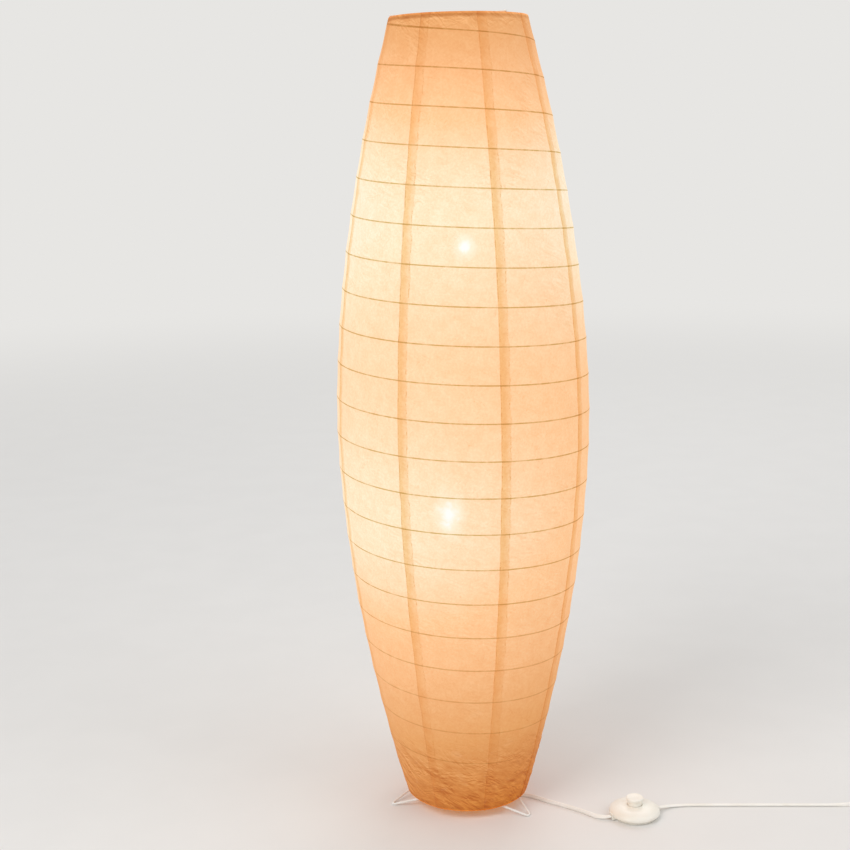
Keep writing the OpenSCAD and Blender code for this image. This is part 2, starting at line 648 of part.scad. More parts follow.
// Dished base of the foot switch, with a gland for the cord at each end and two screw posts
module switch_base() {
    color("ivory") at_switch() difference() {
        union() {
            difference() {
                rotate_extrude($fn = 96) polygon([[0, 0], [switch_foot_r - 1, 0], [switch_foot_r, 1],
                    [switch_r, switch_rim_z], [0, switch_rim_z]]);
                translate([0, 0, case_t]) cylinder(r1 = switch_foot_r - case_t, r2 = switch_r - case_t - 0.6,
                    h = switch_rim_z - case_t + 0.01);
            }
            for (side = [-1, 1]) {
                translate([side * (gland_face - 5) - 5, -5, 1]) cube([10, 10, 8]);
                translate([0, side * 20, 0]) cylinder(r = 4, h = switch_rim_z - seat);
            }
            cylinder(r = 3.5, h = 6);
        }
        for (side = [-1, 1]) {
            translate([0, side * 20, -1]) cylinder(r = 1.6, h = 12);
            translate([0, side * 20, -1]) cylinder(r = 3, h = 2.5);
        }
    }
}

// Domed cover with the button's hole, and posts that take the two screws
module switch_cover() {
    hole_r = button_r - 1.2;
    rim = switch_rim_z + seat;
    color("ivory") at_switch() difference() {
        union() {
            difference() {
                rotate_extrude($fn = 96) polygon(concat([[0, rim], [switch_r, rim]],
                    [for (a = [6:12:90]) [12 + (switch_r - 12) * cos(a), rim + 1.5 + (dome_top_z - rim - 1.5) * sin(a)]],
                    [[0, dome_top_z]]));
                rotate_extrude($fn = 96) polygon(concat([[0, rim - 1], [switch_r - case_t, rim - 1]],
                    [for (a = [6:12:90]) [12 + (switch_r - 12 - case_t) * cos(a),
                        rim + (dome_top_z - rim - case_t) * sin(a)]], [[0, dome_top_z - case_t]]));
            }
            for (side = [-1, 1]) translate([0, side * 20, rim]) cylinder(r = 3.6, h = 8.5);
        }
        for (side = [-1, 1]) {
            translate([0, side * 20, rim - 1]) cylinder(r = 1.2, h = 7);
            translate([side * (gland_face - 5) - 5 - seat, -5 - seat, 0]) cube([10 + 2 * seat, 10 + 2 * seat, 9 + seat]);
        }
        translate([0, 0, dome_top_z - 4]) cylinder(r = hole_r, h = 10);
    }
}

// Flared push button with the flange that keeps it under the cover
module switch_button() {
    hole_r = button_r - 1.2;
    color("ivory") at_switch() difference() {
        rotate_extrude() polygon([[0, 10.5], [hole_r + 2.5, 10.5], [hole_r + 2.5, dome_top_z - case_t - 0.5],
            [hole_r - 0.8, dome_top_z - case_t - 0.5], [hole_r - 0.8, dome_top_z + 1 + button_travel],
            [button_r - 0.4, button_top_z - 3], [button_r, button_top_z - 1.2], [button_r - 1, button_top_z],
            [0, button_top_z - 0.6]]);
        translate([0, 0, 9]) cylinder(r = 6.5, h = 9);
    }
}

spring_r = 4.8;
spring_d = 0.8;
spring_z = [case_t + spring_d / 2 + seat, 17.2];
spring_turns = 6;
spring_sides = 6;
spring_steps = 8;
spring_rings = [for (i = [0:spring_turns * spring_steps]) let (s = i / (spring_turns * spring_steps), a = 360 * i
    / spring_steps, rise = (spring_z[1] - spring_z[0]) / (2 * PI * spring_r * spring_turns))
    ring(polar(spring_r, a, spring_z[0] + (spring_z[1] - spring_z[0]) * s), unit([-sin(a), cos(a), rise]),
        polar(1, a), spring_d, spring_d, spring_sides)];

module switch_spring() {
    color("silver") at_switch() tube(spring_rings, spring_sides);
}

module switch_screws() {
    color("silver") at_switch() for (side = [-1, 1]) translate([0, side * 20, 0]) {
        translate([0, 0, 0.1]) cylinder(r = 2.8, h = 1.2);
        translate([0, 0, 1.2]) cylinder(r = 1.1, h = 9.5);
    }
}

// The two contact strips between the glands and the button
module switch_contacts() {
    color("goldenrod") at_switch() for (turn = [0, 180]) rotate(turn) translate([9, -3, case_t + seat]) {
        cube([14, 6, 0.8]);
        cube([0.8, 6, 4.5]);
        translate([11, 0, 0]) cube([3, 6, 4.8]);
    }
}

plug_at = [coil_last.x, coil_last.y - coil_tail, plug_size.z / 2];
plug_face = plug_neck + plug_size.y;

module at_plug() {
    translate(plug_at) rotate([90, 0, 0]) children();
}

// Flat two-pin plug body, lying on the floor with its pins towards -Y and a ribbed neck at its back
module plug_body() {
    half = plug_size.x / 2;
    color("white") at_plug() {
        intersection() {
            translate([0, plug_size.z / 2, 0]) rotate([90, 0, 0]) linear_extrude(plug_size.z) polygon(concat(
                [[-7, plug_neck], [7, plug_neck], [8.2, plug_neck + 6]],
                [for (a = [0:15:90]) [half - 5 + 5 * sin(a) - 1.5 * cos(a), plug_face - 13 - 8 * cos(a)]],
                [[half, plug_face], [-half, plug_face]],
                [for (a = [90:-15:0]) [-half + 5 - 5 * sin(a) + 1.5 * cos(a), plug_face - 13 - 8 * cos(a)]],
                [[-8.2, plug_neck + 6]]));
            linear_extrude(plug_face) polygon([for (x = [-1, 1]) each [[-x * (half - 6), x * plug_size.z / 2],
                [x * (half - 6), x * plug_size.z / 2], [x * (half - 1), x * 3.4], [x * half, 0]]]);
        }
        rotate_extrude() polygon(concat([[0, 0]], [for (i = [0:4]) each [[4.1 + 0.35 * i, 3.4 * i],
            [4.1 + 0.35 * i, 3.4 * i + 2], [3.7 + 0.35 * i, 3.4 * i + 2.2], [3.7 + 0.35 * i, 3.4 * i + 3.2]]],
            [[5.8, plug_neck], [0, plug_neck]]));
    }
}

module plug_pins() {
    color("silver") at_plug() for (side = [-1, 1]) translate([side * pin_space / 2, 0, plug_face])
        rotate_extrude() polygon(concat([[0, 0], [pin_d / 2, 0]],
            [for (a = [0:15:75]) [pin_d / 2 * cos(a), pin_l - 2 + 2 * sin(a)]], [[0, pin_l]]));
}

echo("least gap of the rib wire to itself", self_gap(rib_rings, rib_steps));
echo("least gap of the coil to itself", self_gap(coil_rings, coil_steps));
echo("least gap of the spring to itself", self_gap(spring_rings, spring_steps));

paper_gore(1);  // paper_gore_1
paper_gore(2);  // paper_gore_2
paper_gore(3);  // paper_gore_3
paper_gore(4);  // paper_gore_4
paper_gore(5);  // paper_gore_5
paper_gore(6);  // paper_gore_6
paper_gore(7);  // paper_gore_7
paper_gore(8);  // paper_gore_8
rib_wire();
top_ring();
bottom_ring();
top_spider();
finial_nut();
base_ring();
wire_foot(foot_turn);  // foot_right
wire_foot(foot_turn + 360 / feet);  // foot_rear
wire_foot(foot_turn - 360 / feet);  // foot_left
spokes();
hub();
lower_pole();
pole_coupler();
upper_pole();
at_light(lower_light_z, lower_light_turn) bracket();  // lower_bracket
at_light(lower_light_z, lower_light_turn) holder_cap();  // lower_holder_cap
at_light(lower_light_z, lower_light_turn) holder_skirt();  // lower_holder_skirt
at_light(lower_light_z, lower_light_turn) holder_sleeve();  // lower_holder_sleeve
at_light(lower_light_z, lower_light_turn) holder_contact();  // lower_holder_contact
at_light(lower_light_z, lower_light_turn) bulb_glass();  // lower_bulb_glass
at_light(lower_light_z, lower_light_turn) bulb_cap();  // lower_bulb_cap
at_light(upper_light_z, upper_light_turn) bracket();  // upper_bracket
at_light(upper_light_z, upper_light_turn) holder_cap();  // upper_holder_cap
at_light(upper_light_z, upper_light_turn) holder_skirt();  // upper_holder_skirt
at_light(upper_light_z, upper_light_turn) holder_sleeve();  // upper_holder_sleeve
at_light(upper_light_z, upper_light_turn) holder_contact();  // upper_holder_contact
at_light(upper_light_z, upper_light_turn) bulb_glass();  // upper_bulb_glass
at_light(upper_light_z, upper_light_turn) bulb_cap();  // upper_bulb_cap
clamp_screws();
nipples();
nipple_nuts();
base_lead();
lower_lead();
upper_lead();
splice_box();
lead_bands();
cord_grip();
cord_to_switch();
switch_base();
switch_cover();
switch_button();
switch_spring();
switch_screws();
switch_contacts();
cord_to_plug();
cord_coil();
plug_body();
plug_pins();
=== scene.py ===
import json
import math
import bpy
import numpy as np
from mathutils import Matrix, Vector


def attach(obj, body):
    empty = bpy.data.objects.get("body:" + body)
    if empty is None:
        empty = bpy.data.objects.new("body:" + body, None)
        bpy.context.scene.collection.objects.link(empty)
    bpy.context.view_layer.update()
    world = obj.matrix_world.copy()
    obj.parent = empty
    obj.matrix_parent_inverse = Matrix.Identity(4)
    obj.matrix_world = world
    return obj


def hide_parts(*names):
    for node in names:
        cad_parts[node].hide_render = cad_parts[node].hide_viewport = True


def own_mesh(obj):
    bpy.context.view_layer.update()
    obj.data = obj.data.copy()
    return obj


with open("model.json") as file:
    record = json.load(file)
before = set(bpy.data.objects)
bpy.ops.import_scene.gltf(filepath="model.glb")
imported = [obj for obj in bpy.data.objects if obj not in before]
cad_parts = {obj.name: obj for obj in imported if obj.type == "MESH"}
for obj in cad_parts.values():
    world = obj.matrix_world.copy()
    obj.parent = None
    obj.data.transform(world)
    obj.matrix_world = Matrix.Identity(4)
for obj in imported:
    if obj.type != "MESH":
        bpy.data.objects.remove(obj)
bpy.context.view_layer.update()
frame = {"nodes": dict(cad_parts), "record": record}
cadNodes = frame["nodes"]
mm = 0.001
ribPitch = 0.0494  # height of one turn of the rib wire
lapWidth = 0.0135  # width of the two layers where one gore laps over the next
print("paper lantern floor lamp: frame loaded,", len(cadNodes), "CAD nodes")


# small helpers for nodes, meshes and routes

def addNode(tree, kind, settings=None, inputs=None):
    made = tree.nodes.new("ShaderNode" + kind)
    for key, value in (settings or {}).items():
        setattr(made, key, value)
    for key, value in (inputs or {}).items():
        if isinstance(value, bpy.types.NodeSocket):
            tree.links.new(value, made.inputs[key])
        else:
            made.inputs[key].default_value = value
    return made


def maths(tree, operation, a, b=0.0):
    return addNode(tree, "Math", {"operation": operation}, {0: a, 1: b}).outputs[0]


def times(tree, a, b):
    return maths(tree, "MULTIPLY", a, b)


def ramp(tree, value, low, high, outLow=0.0, outHigh=1.0, smooth=True):
    kind = "SMOOTHSTEP" if smooth else "LINEAR"
    made = addNode(tree, "MapRange", {"interpolation_type": kind}, {
        "Value": value, "From Min": low, "From Max": high, "To Min": outLow, "To Max": outHigh})
    return made.outputs["Result"]


def apart(tree, value, middle):
    return maths(tree, "ABSOLUTE", maths(tree, "SUBTRACT", value, middle))


def mixColours(tree, factor, a, b, mode="MIX"):
    made = addNode(tree, "Mix", {"data_type": "RGBA", "blend_type": mode}, {0: factor, 6: a, 7: b})
    return made.outputs[2]


def noiseOf(tree, place, scale, detail=2.0, rough=0.5, bend=0.0, stretch=None):
    if stretch:
        place = addNode(tree, "Mapping", None, {"Vector": place, "Scale": stretch}).outputs[0]
    return addNode(tree, "TexNoise", None, {"Vector": place, "Scale": scale, "Detail": detail,
                                            "Roughness": rough, "Distortion": bend}).outputs["Fac"]


def newFinish(name, **sockets):
    material = bpy.data.materials.new(name)
    material.use_nodes = True
    tree = material.node_tree
    shader = tree.nodes["Principled BSDF"]
    for key, value in sockets.items():
        shader.inputs[key.replace("_", " ")].default_value = value
    return material, tree, shader, addNode(tree, "TexCoord").outputs["Object"]


def feed(shader, name, value):
    shader.id_data.links.new(value, shader.inputs[name])


def setBump(tree, shader, height, strength, depth):
    bump = addNode(tree, "Bump", None, {"Strength": strength, "Distance": depth, "Height": height})
    feed(shader, "Normal", bump.outputs[0])


def newMesh(name, points, faces, body, slot):
    mesh = bpy.data.meshes.new(name)
    mesh.from_pydata(np.asarray(points).tolist(), [], faces)
    mesh.update()
    mesh.shade_smooth()
    piece = bpy.data.objects.new(name, mesh)
    bpy.context.scene.collection.objects.link(piece)
    mesh.materials.append(finishes[slot])
    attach(piece, body)
    return piece


def polar(radius, degrees, z=0.0):
    turn = math.radians(degrees)
    return np.array([radius * math.cos(turn), radius * math.sin(turn), z])


def unitRows(rows):
    return rows / np.maximum(np.linalg.norm(rows, axis=-1, keepdims=True), 1e-12)


def smoothRoute(rows, step):
    rows = np.asarray(rows, float)  # a cubic through every row, resampled about every step
    gaps = np.maximum(np.linalg.norm(np.diff(rows[:, :3], axis=0), axis=1), 1e-9)
    at = np.concatenate([[0], np.cumsum(gaps)])
    slope = np.gradient(rows, at, axis=0)
    dense = np.linspace(0, at[-1], int(at[-1] / step) + 1)
    i = np.clip(np.searchsorted(at, dense, side="right") - 1, 0, len(gaps) - 1)
    h = gaps[i][:, None]
    s = (dense - at[i])[:, None] / h
    return ((2 * s ** 3 - 3 * s ** 2 + 1) * rows[i] + (s ** 3 - 2 * s ** 2 + s) * h * slope[i]
            + (3 * s ** 2 - 2 * s ** 3) * rows[i + 1] + (s ** 3 - s ** 2) * h * slope[i + 1])


def ovalTube(path, thin, width, thickness, sides, power=1.0):
    path, thin = np.asarray(path, float), np.asarray(thin, float)
    ahead = unitRows(np.gradient(path, axis=0))
    up = unitRows(thin - ahead * np.sum(thin * ahead, axis=1, keepdims=True))
    across = np.cross(ahead, up)
    turn = 2 * np.pi * (np.arange(sides) + 0.5) / sides
    c, s = np.cos(turn), np.sin(turn)
    c, s = np.sign(c) * np.abs(c) ** power, np.sign(s) * np.abs(s) ** power
    rings = (path[:, None] + across[:, None] * (width / 2 * c)[None, :, None]
             + up[:, None] * (thickness / 2 * s)[None, :, None])
    count = len(path)
    faces = []
    for i in range(count - 1):
        for k in range(sides):
            this, after = i * sides + k, i * sides + (k + 1) % sides
            faces.append([this, after, after + sides, this + sides])
    faces += [list(range(sides))[::-1], [(count - 1) * sides + k for k in range(sides)]]
    return rings.reshape(-1, 3), faces


def latticeNoise(x, y, seed, wrap=0):  # the first direction comes round again after wrap cells
    ix, iy = np.floor(x).astype(np.int64), np.floor(y).astype(np.int64)
    fx, fy = x - ix, y - iy
    fx, fy = fx * fx * (3 - 2 * fx), fy * fy * (3 - 2 * fy)

    def corner(i, j):
        i = i % wrap if wrap else i
        mixed = (i * 374761393 + j * 668265263 + seed * 974634777) & 0x7fffffff
        mixed = ((mixed ^ (mixed >> 13)) * 1274126177) & 0x7fffffff
        return ((mixed ^ (mixed >> 16)) & 0xffff) / 65535.0

    low = corner(ix, iy) * (1 - fx) + corner(ix + 1, iy) * fx
    high = corner(ix, iy + 1) * (1 - fx) + corner(ix + 1, iy + 1) * fx
    return low * (1 - fy) + high * fy


def softStep(value, low, high):
    s = np.clip((value - low) / (high - low), 0, 1)
    return s * s * (3 - 2 * s)


# camera at the photograph's viewing angle

view = {"lens": 60.685, "sensor": 36.0, "place": (0.0, -1.9604, 0.9626), "turn": 0.0272, "tilt": 0.2052,
        "roll": -0.0178}
cameraData = bpy.data.cameras.new("photoCamera")
cameraData.lens = view["lens"]
cameraData.sensor_width = view["sensor"]
camera = bpy.data.objects.new("photoCamera", cameraData)
bpy.context.scene.collection.objects.link(camera)
camera.matrix_world = (Matrix.Translation(view["place"]) @ Matrix.Rotation(view["turn"], 4, "Z")
                       @ Matrix.Rotation(math.pi / 2 - view["tilt"], 4, "X")
                       @ Matrix.Rotation(view["roll"], 4, "Z"))
bpy.context.scene.camera = camera
bpy.context.scene.view_settings.view_transform = "Standard"
print("camera placed")


# finishes

def mouldedFinish(name, colour, roughness, grain=0.012, coat=0.0):
    material, tree, shader, place = newFinish(name, Coat_Weight=coat, Coat_Roughness=0.25)
    cloud = noiseOf(tree, place, 38.0, 3.0, 0.55)
    speck = noiseOf(tree, place, 420.0, 2.0)
    dull = [c * f for c, f in zip(colour, (0.93, 0.90, 0.84))]
    tone = mixColours(tree, ramp(tree, cloud, 0.35, 0.8, 0.0, 0.55), (*colour, 1), (*dull, 1))
    tone = mixColours(tree, ramp(tree, speck, 0.62, 0.8, 0.0, 0.35), tone, (*[c * 0.86 for c in dull], 1))
    feed(shader, "Base Color", tone)
    feed(shader, "Roughness", ramp(tree, cloud, 0.2, 0.8, roughness - 0.05, roughness + 0.09))
    setBump(tree, shader, noiseOf(tree, place, 1500.0, 2.0), 0.12, grain * mm)
    return material


def coatedWireFinish(name, colour, worn, wear=0.74):
    material, tree, shader, place = newFinish(name)
    peel = noiseOf(tree, place, 700.0, 1.5)
    chips = noiseOf(tree, place, 120.0, 4.0, 0.65)
    cloud = noiseOf(tree, place, 22.0, 2.0)
    dull = [c * f for c, f in zip(colour, (0.94, 0.92, 0.87))]
    tone = mixColours(tree, ramp(tree, cloud, 0.35, 0.75), (*colour, 1), (*dull, 1))
    bare = ramp(tree, chips, wear, wear + 0.03)
    feed(shader, "Base Color", mixColours(tree, bare, tone, (*worn, 1)))
    feed(shader, "Roughness", ramp(tree, peel, 0.3, 0.8, 0.34, 0.5))
    feed(shader, "Metallic", times(tree, bare, 0.7))
    setBump(tree, shader, maths(tree, "SUBTRACT", peel, bare), 0.2, 0.03 * mm)
    return material


def bareMetalFinish(name, colour, dark, roughness, scale=60.0, stretch=(1, 1, 1)):
    material, tree, shader, place = newFinish(name, Metallic=1.0)
    streak = noiseOf(tree, place, scale, 4.0, 0.6, 0.2, stretch)
    tarnish = noiseOf(tree, place, 55.0, 3.0, 0.6)
    tone = mixColours(tree, ramp(tree, tarnish, 0.45, 0.75, 0.0, 0.8), (*colour, 1), (*dark, 1))
    feed(shader, "Base Color", tone)
    feed(shader, "Roughness", ramp(tree, streak, 0.3, 0.75, roughness, roughness + 0.18))
    setBump(tree, shader, streak, 0.1, 0.02 * mm)
    return material


ribWireLook = {"dark": (0.46, 0.33, 0.2, 1), "light": (0.62, 0.49, 0.33, 1)}


def ribWireFinish():
    look = ribWireLook
    material, tree, shader, place = newFinish("varnishedRibWire", Coat_Weight=0.3, Coat_Roughness=0.2)
    streak = noiseOf(tree, place, 160.0, 4.0, 0.6)
    tone = mixColours(tree, ramp(tree, streak, 0.35, 0.7), look["dark"], look["light"])
    feed(shader, "Base Color", tone)
    feed(shader, "Roughness", ramp(tree, streak, 0.3, 0.8, 0.32, 0.5))
    setBump(tree, shader, streak, 0.2, 0.03 * mm)
    return material


bulbLook = {
    "core": (1.0, 0.92, 0.74, 1), "warm": (1.0, 0.74, 0.42, 1), "neck": (0.62, 0.34, 0.14, 1),
    "glass": (0.56, 0.53, 0.47, 1), "frost": (0.50, 0.47, 0.40, 1), "strength": 0.52,
    "cap": (0.82, 0.82, 0.80, 1), "grime": (0.55, 0.53, 0.49, 1), "thread": 3.6 * mm,
}


def bulbGlassFinish():
    look = bulbLook
    material, tree, shader, place = newFinish("frostedBulbGlass", Roughness=0.28, Coat_Weight=0.35,
                                              Coat_Roughness=0.12, Emission_Strength=look["strength"])
    along = addNode(tree, "TexCoord").outputs["Generated"]
    height = addNode(tree, "SeparateXYZ", None, {0: along}).outputs[2]
    frost = noiseOf(tree, place, 900.0, 2.0)
    glow = mixColours(tree, ramp(tree, height, 0.12, 0.62), look["neck"], look["core"])
    glow = mixColours(tree, ramp(tree, frost, 0.3, 0.8, 0.0, 0.25), glow, look["warm"])
    feed(shader, "Emission Color", glow)
    feed(shader, "Base Color", mixColours(tree, ramp(tree, frost, 0.3, 0.8), look["glass"], look["frost"]))
    setBump(tree, shader, frost, 0.1, 0.02 * mm)
    return material


def bulbCapFinish():
    look = bulbLook
    material, tree, shader, place = newFinish("rolledCapMetal", Metallic=1.0)
    height = addNode(tree, "SeparateXYZ", None, {0: place}).outputs[2]
    wave = maths(tree, "SINE", times(tree, height, 2 * math.pi / look["thread"]))
    grime = noiseOf(tree, place, 90.0, 3.0)
    feed(shader, "Base Color", mixColours(tree, ramp(tree, grime, 0.4, 0.8), look["cap"], look["grime"]))
    feed(shader, "Roughness", ramp(tree, grime, 0.3, 0.8, 0.28, 0.48))
    setBump(tree, shader, wave, 0.6, 0.4 * mm)
    return material


cordLook = {"clean": (0.91, 0.89, 0.84, 1), "dull": (0.85, 0.82, 0.74, 1), "scuffed": (0.70, 0.66, 0.58, 1)}


def cordFinish():
    look = cordLook
    material, tree, shader, place = newFinish("cordSheath", Coat_Weight=0.12, Coat_Roughness=0.35)
    cloud = noiseOf(tree, place, 26.0, 3.0, 0.6)
    scuff = noiseOf(tree, place, 300.0, 3.0, 0.7)
    tone = mixColours(tree, ramp(tree, cloud, 0.35, 0.75, 0.0, 0.8), look["clean"], look["dull"])
    tone = mixColours(tree, ramp(tree, scuff, 0.66, 0.8, 0.0, 0.5), tone, look["scuffed"])
    feed(shader, "Base Color", tone)
    feed(shader, "Roughness", ramp(tree, scuff, 0.3, 0.8, 0.38, 0.55))
    setBump(tree, shader, scuff, 0.15, 0.03 * mm)
    return material


def turnedPlace(tree, place, turn, across, along):
    rotation = (0, 0, math.radians(turn))
    turned = addNode(tree, "Mapping", None, {"Vector": place, "Rotation": rotation}).outputs[0]
    stretch = (1 / along, 1 / across, 0.0)
    return addNode(tree, "Mapping", None, {"Vector": turned, "Scale": stretch}).outputs[0]


def foldHeight(tree, place, turn, across, along, bend):
    cells = turnedPlace(tree, place, turn, across, along)
    return apart(tree, noiseOf(tree, cells, 1.0, 1.6, 0.5, bend), 0.5)


def facetHeight(tree, place, turn, across, along, bend):
    cells = turnedPlace(tree, place, turn, across, along)
    cloud = addNode(tree, "TexNoise", None, {"Vector": cells, "Scale": 1.3, "Detail": 1.0})
    moved = addNode(tree, "VectorMath", {"operation": "SCALE"}, {0: cloud.outputs["Color"], "Scale": bend})
    cells = addNode(tree, "VectorMath", {"operation": "ADD"}, {0: cells, 1: moved.outputs[0]}).outputs[0]
    facets = addNode(tree, "TexVoronoi", {"feature": "F1"}, {"Vector": cells, "Scale": 1.0})
    return facets.outputs["Distance"]


def multiplied(tree, share, tone, factor):
    return mixColours(tree, share, tone, mixColours(tree, 1.0, tone, factor, "MULTIPLY"))


def vectorParts(tree, name):
    read = addNode(tree, "Attribute", {"attribute_name": name}).outputs["Vector"]
    return addNode(tree, "SeparateXYZ", None, {0: read}).outputs


paperLook = {
    "sheetShare": 0.40,  # of the paper's colour in the room's light
    "glowShare": 0.62,  # of the paper's colour that it gives off itself
    "roughness": 0.82,
    "clouds": (  # span and two tints, for the pulp and for the grain
        ((0.30, 0.72), (0.985, 0.955, 0.92, 1), (1.01, 1.03, 1.05, 1)),
        ((0.32, 0.70), (0.985, 0.945, 0.90, 1), (1.01, 1.035, 1.07, 1))),
    "fibres": (  # scale, bend, half width and tint
        (34.0, 2.2, 0.010, (0.96, 0.89, 0.81, 1)), (58.0, 3.0, 0.013, (1.04, 1.07, 1.12, 1)),
        (90.0, 2.5, 0.016, (0.97, 0.91, 0.84, 1))),
    # painted shade where the gores lap over each other and along their paste lines
    "seamShadeTone": (0.905, 0.76, 0.54, 1),
    "bandWidth": lapWidth,
    "bandSoft": 1.3 * mm,  # either way from the band's edge
    "bandWander": 8.0 * mm,  # how much the edge strays
    "bandMottle": 12.0 * mm,
    "bandFades": (6.0 * mm, 20.0 * mm, 1.22, 0.50),  # from strong to weak across the lap
    "pasteShadeTone": (0.86, 0.74, 0.58, 1),
    "pasteIn": 0.9 * mm,  # from either edge of the lap to the middle of its paste line
    "pasteHalf": (1.1 * mm, 0.3 * mm),
    # painted shade and painted highlight of the folds
    "foldShadeTone": (0.86, 0.74, 0.58, 1),
    "foldHighlightTone": (1.11, 1.21, 1.38, 1),
    "foldLight": (0.3 * mm, 1.1 * mm, 0),  # a fold's slope is its rise over this step, which sets its painted shade and highlight
    "folds": (  # kind, turn, size across and along, bend, and its share in the two kinds of region
        (foldHeight, 40.0, 10.5 * mm, 34 * mm, 1.0, (1.0, 0.3)),
        (foldHeight, -14.0, 9.5 * mm, 26 * mm, 1.2, (0.3, 0.9)),
        (facetHeight, 30.0, 10 * mm, 24 * mm, 1.6, (0.55, 0.45))),
    "valleys": (-0.01, -0.075),
    "ridges": (0.015, 0.065),
    "hemShadeTone": (0.72, 0.58, 0.40, 1),
    "haloTone": (1.03, 0.95, 0.76, 1),
    "hotTone": (1.02, 1.0, 0.95, 1),
    "ribShadowTone": (0.65, 0.55, 0.28, 1),
    "ribHalf": 0.95 * mm,
    "pitch": ribPitch,
    "ribsEnd": (0.0915, 0.0945),  # the wire's shadow is lost in the gathers below this
    "ribsFaint": (0.12, 0.42, 0.55, 1.0),  # and is faint in the lower part
    "rimLightTone": (1.40, 1.42, 1.55, 1),
}


def pulpAndFibres(tree, place, tone, pulp, grain):
    look = paperLook
    for level, (span, *tints) in zip((pulp, grain), look["clouds"]):
        cloud = mixColours(tree, ramp(tree, level, *span), *tints)
        tone = mixColours(tree, 1.0, tone, cloud, "MULTIPLY")
    for scale, bend, half, tint in look["fibres"]:  # long fibres are thin level lines of bent noise
        away = apart(tree, noiseOf(tree, place, scale, 1.0, 0.4, bend), 0.5)
        line = ramp(tree, away, 0.0, half, 1.0, 0.0)
        part = ramp(tree, noiseOf(tree, place, scale * 0.8, 1.0), 0.45, 0.58)
        tone = multiplied(tree, times(tree, line, part), tone, tint)
    return tone


def lappedEdges(tree, place, tone, pulp, fromSeam, shown):
    look = paperLook  # two layers of paper where one gore laps over the next
    # painted shade: the two layers and their paste lines let less of the bulbs' light through
    wander = maths(tree, "SUBTRACT", noiseOf(tree, place, 55.0, 4.0, 0.65), 0.5)
    edge = maths(tree, "ADD", fromSeam, times(tree, wander, look["bandWander"]))
    band = ramp(tree, edge, look["bandWidth"] + look["bandSoft"], look["bandWidth"] - look["bandSoft"])
    mottled = maths(tree, "ADD", fromSeam, times(tree, pulp, look["bandMottle"]))
    band = times(tree, band, ramp(tree, mottled, *look["bandFades"]))
    tone = multiplied(tree, times(tree, band, shown), tone, look["seamShadeTone"])
    broken = ramp(tree, noiseOf(tree, place, 120.0, 3.0, 0.7), 0.47, 0.62)
    for line, middle in ((fromSeam, look["pasteIn"]), (edge, look["bandWidth"] - look["pasteIn"])):
        paste = ramp(tree, apart(tree, line, middle), *look["pasteHalf"])
        paste = times(tree, paste, broken)
        tone = multiplied(tree, times(tree, paste, shown), tone, look["pasteShadeTone"])
    return tone


def foldedPaper(tree, tone, flat, crease, gathered):
    look = paperLook  # painted shade in the valleys and painted highlight on the ridges, with finer folds where it is gathered
    tone = multiplied(tree, ramp(tree, crease, 0.48, 0.1, 0.0, 0.85), tone, look["foldShadeTone"])
    tone = multiplied(tree, ramp(tree, crease, 0.52, 0.9, 0.0, 0.85), tone, look["foldHighlightTone"])
    raised = addNode(tree, "VectorMath", {"operation": "ADD"}, {0: flat, 1: look["foldLight"]}).outputs[0]
    region = ramp(tree, noiseOf(tree, flat, 22.0, 1.0, 0.5, 0.0, (1, 1, 0)), 0.40, 0.60)
    heights, relief = 0.0, 0.0
    for heightOf, turn, across, along, bend, shares in look["folds"]:
        height = heightOf(tree, flat, turn, across, along, bend)
        step = maths(tree, "SUBTRACT", heightOf(tree, raised, turn, across, along, bend), height)
        step = times(tree, step, ramp(tree, region, 0, 1, *shares))
        relief = maths(tree, "ADD", relief, step)
        heights = maths(tree, "ADD", heights, height)
    patchy = ramp(tree, noiseOf(tree, flat, 48.0, 2.0, 0.6, 0.4, (1, 1, 0)), 0.40, 0.62, 0.35, 1.35)
    uneven = times(tree, gathered, patchy)
    # painted shade where a fold slopes one way, painted highlight where it slopes the other
    for span, tint in ((look["valleys"], look["foldShadeTone"]), (look["ridges"], look["foldHighlightTone"])):
        share = times(tree, ramp(tree, relief, *span, smooth=False), uneven)
        tone = multiplied(tree, share, tone, tint)
    return tone, heights


def ribShadow(tree, place, turns, level):
    look = paperLook
    saw = maths(tree, "FRACT", maths(tree, "ADD", turns, 0.5))
    away = times(tree, apart(tree, saw, 0.5), look["pitch"])
    rib = ramp(tree, away, look["ribHalf"] * 1.25, look["ribHalf"] * 0.6)
    for share in (ramp(tree, noiseOf(tree, place, 75.0, 3.0, 0.6), 0.30, 0.60, 0.55, 1.0),
                  ramp(tree, level, *look["ribsEnd"]), ramp(tree, level, *look["ribsFaint"])):
        rib = times(tree, rib, share)
    return rib


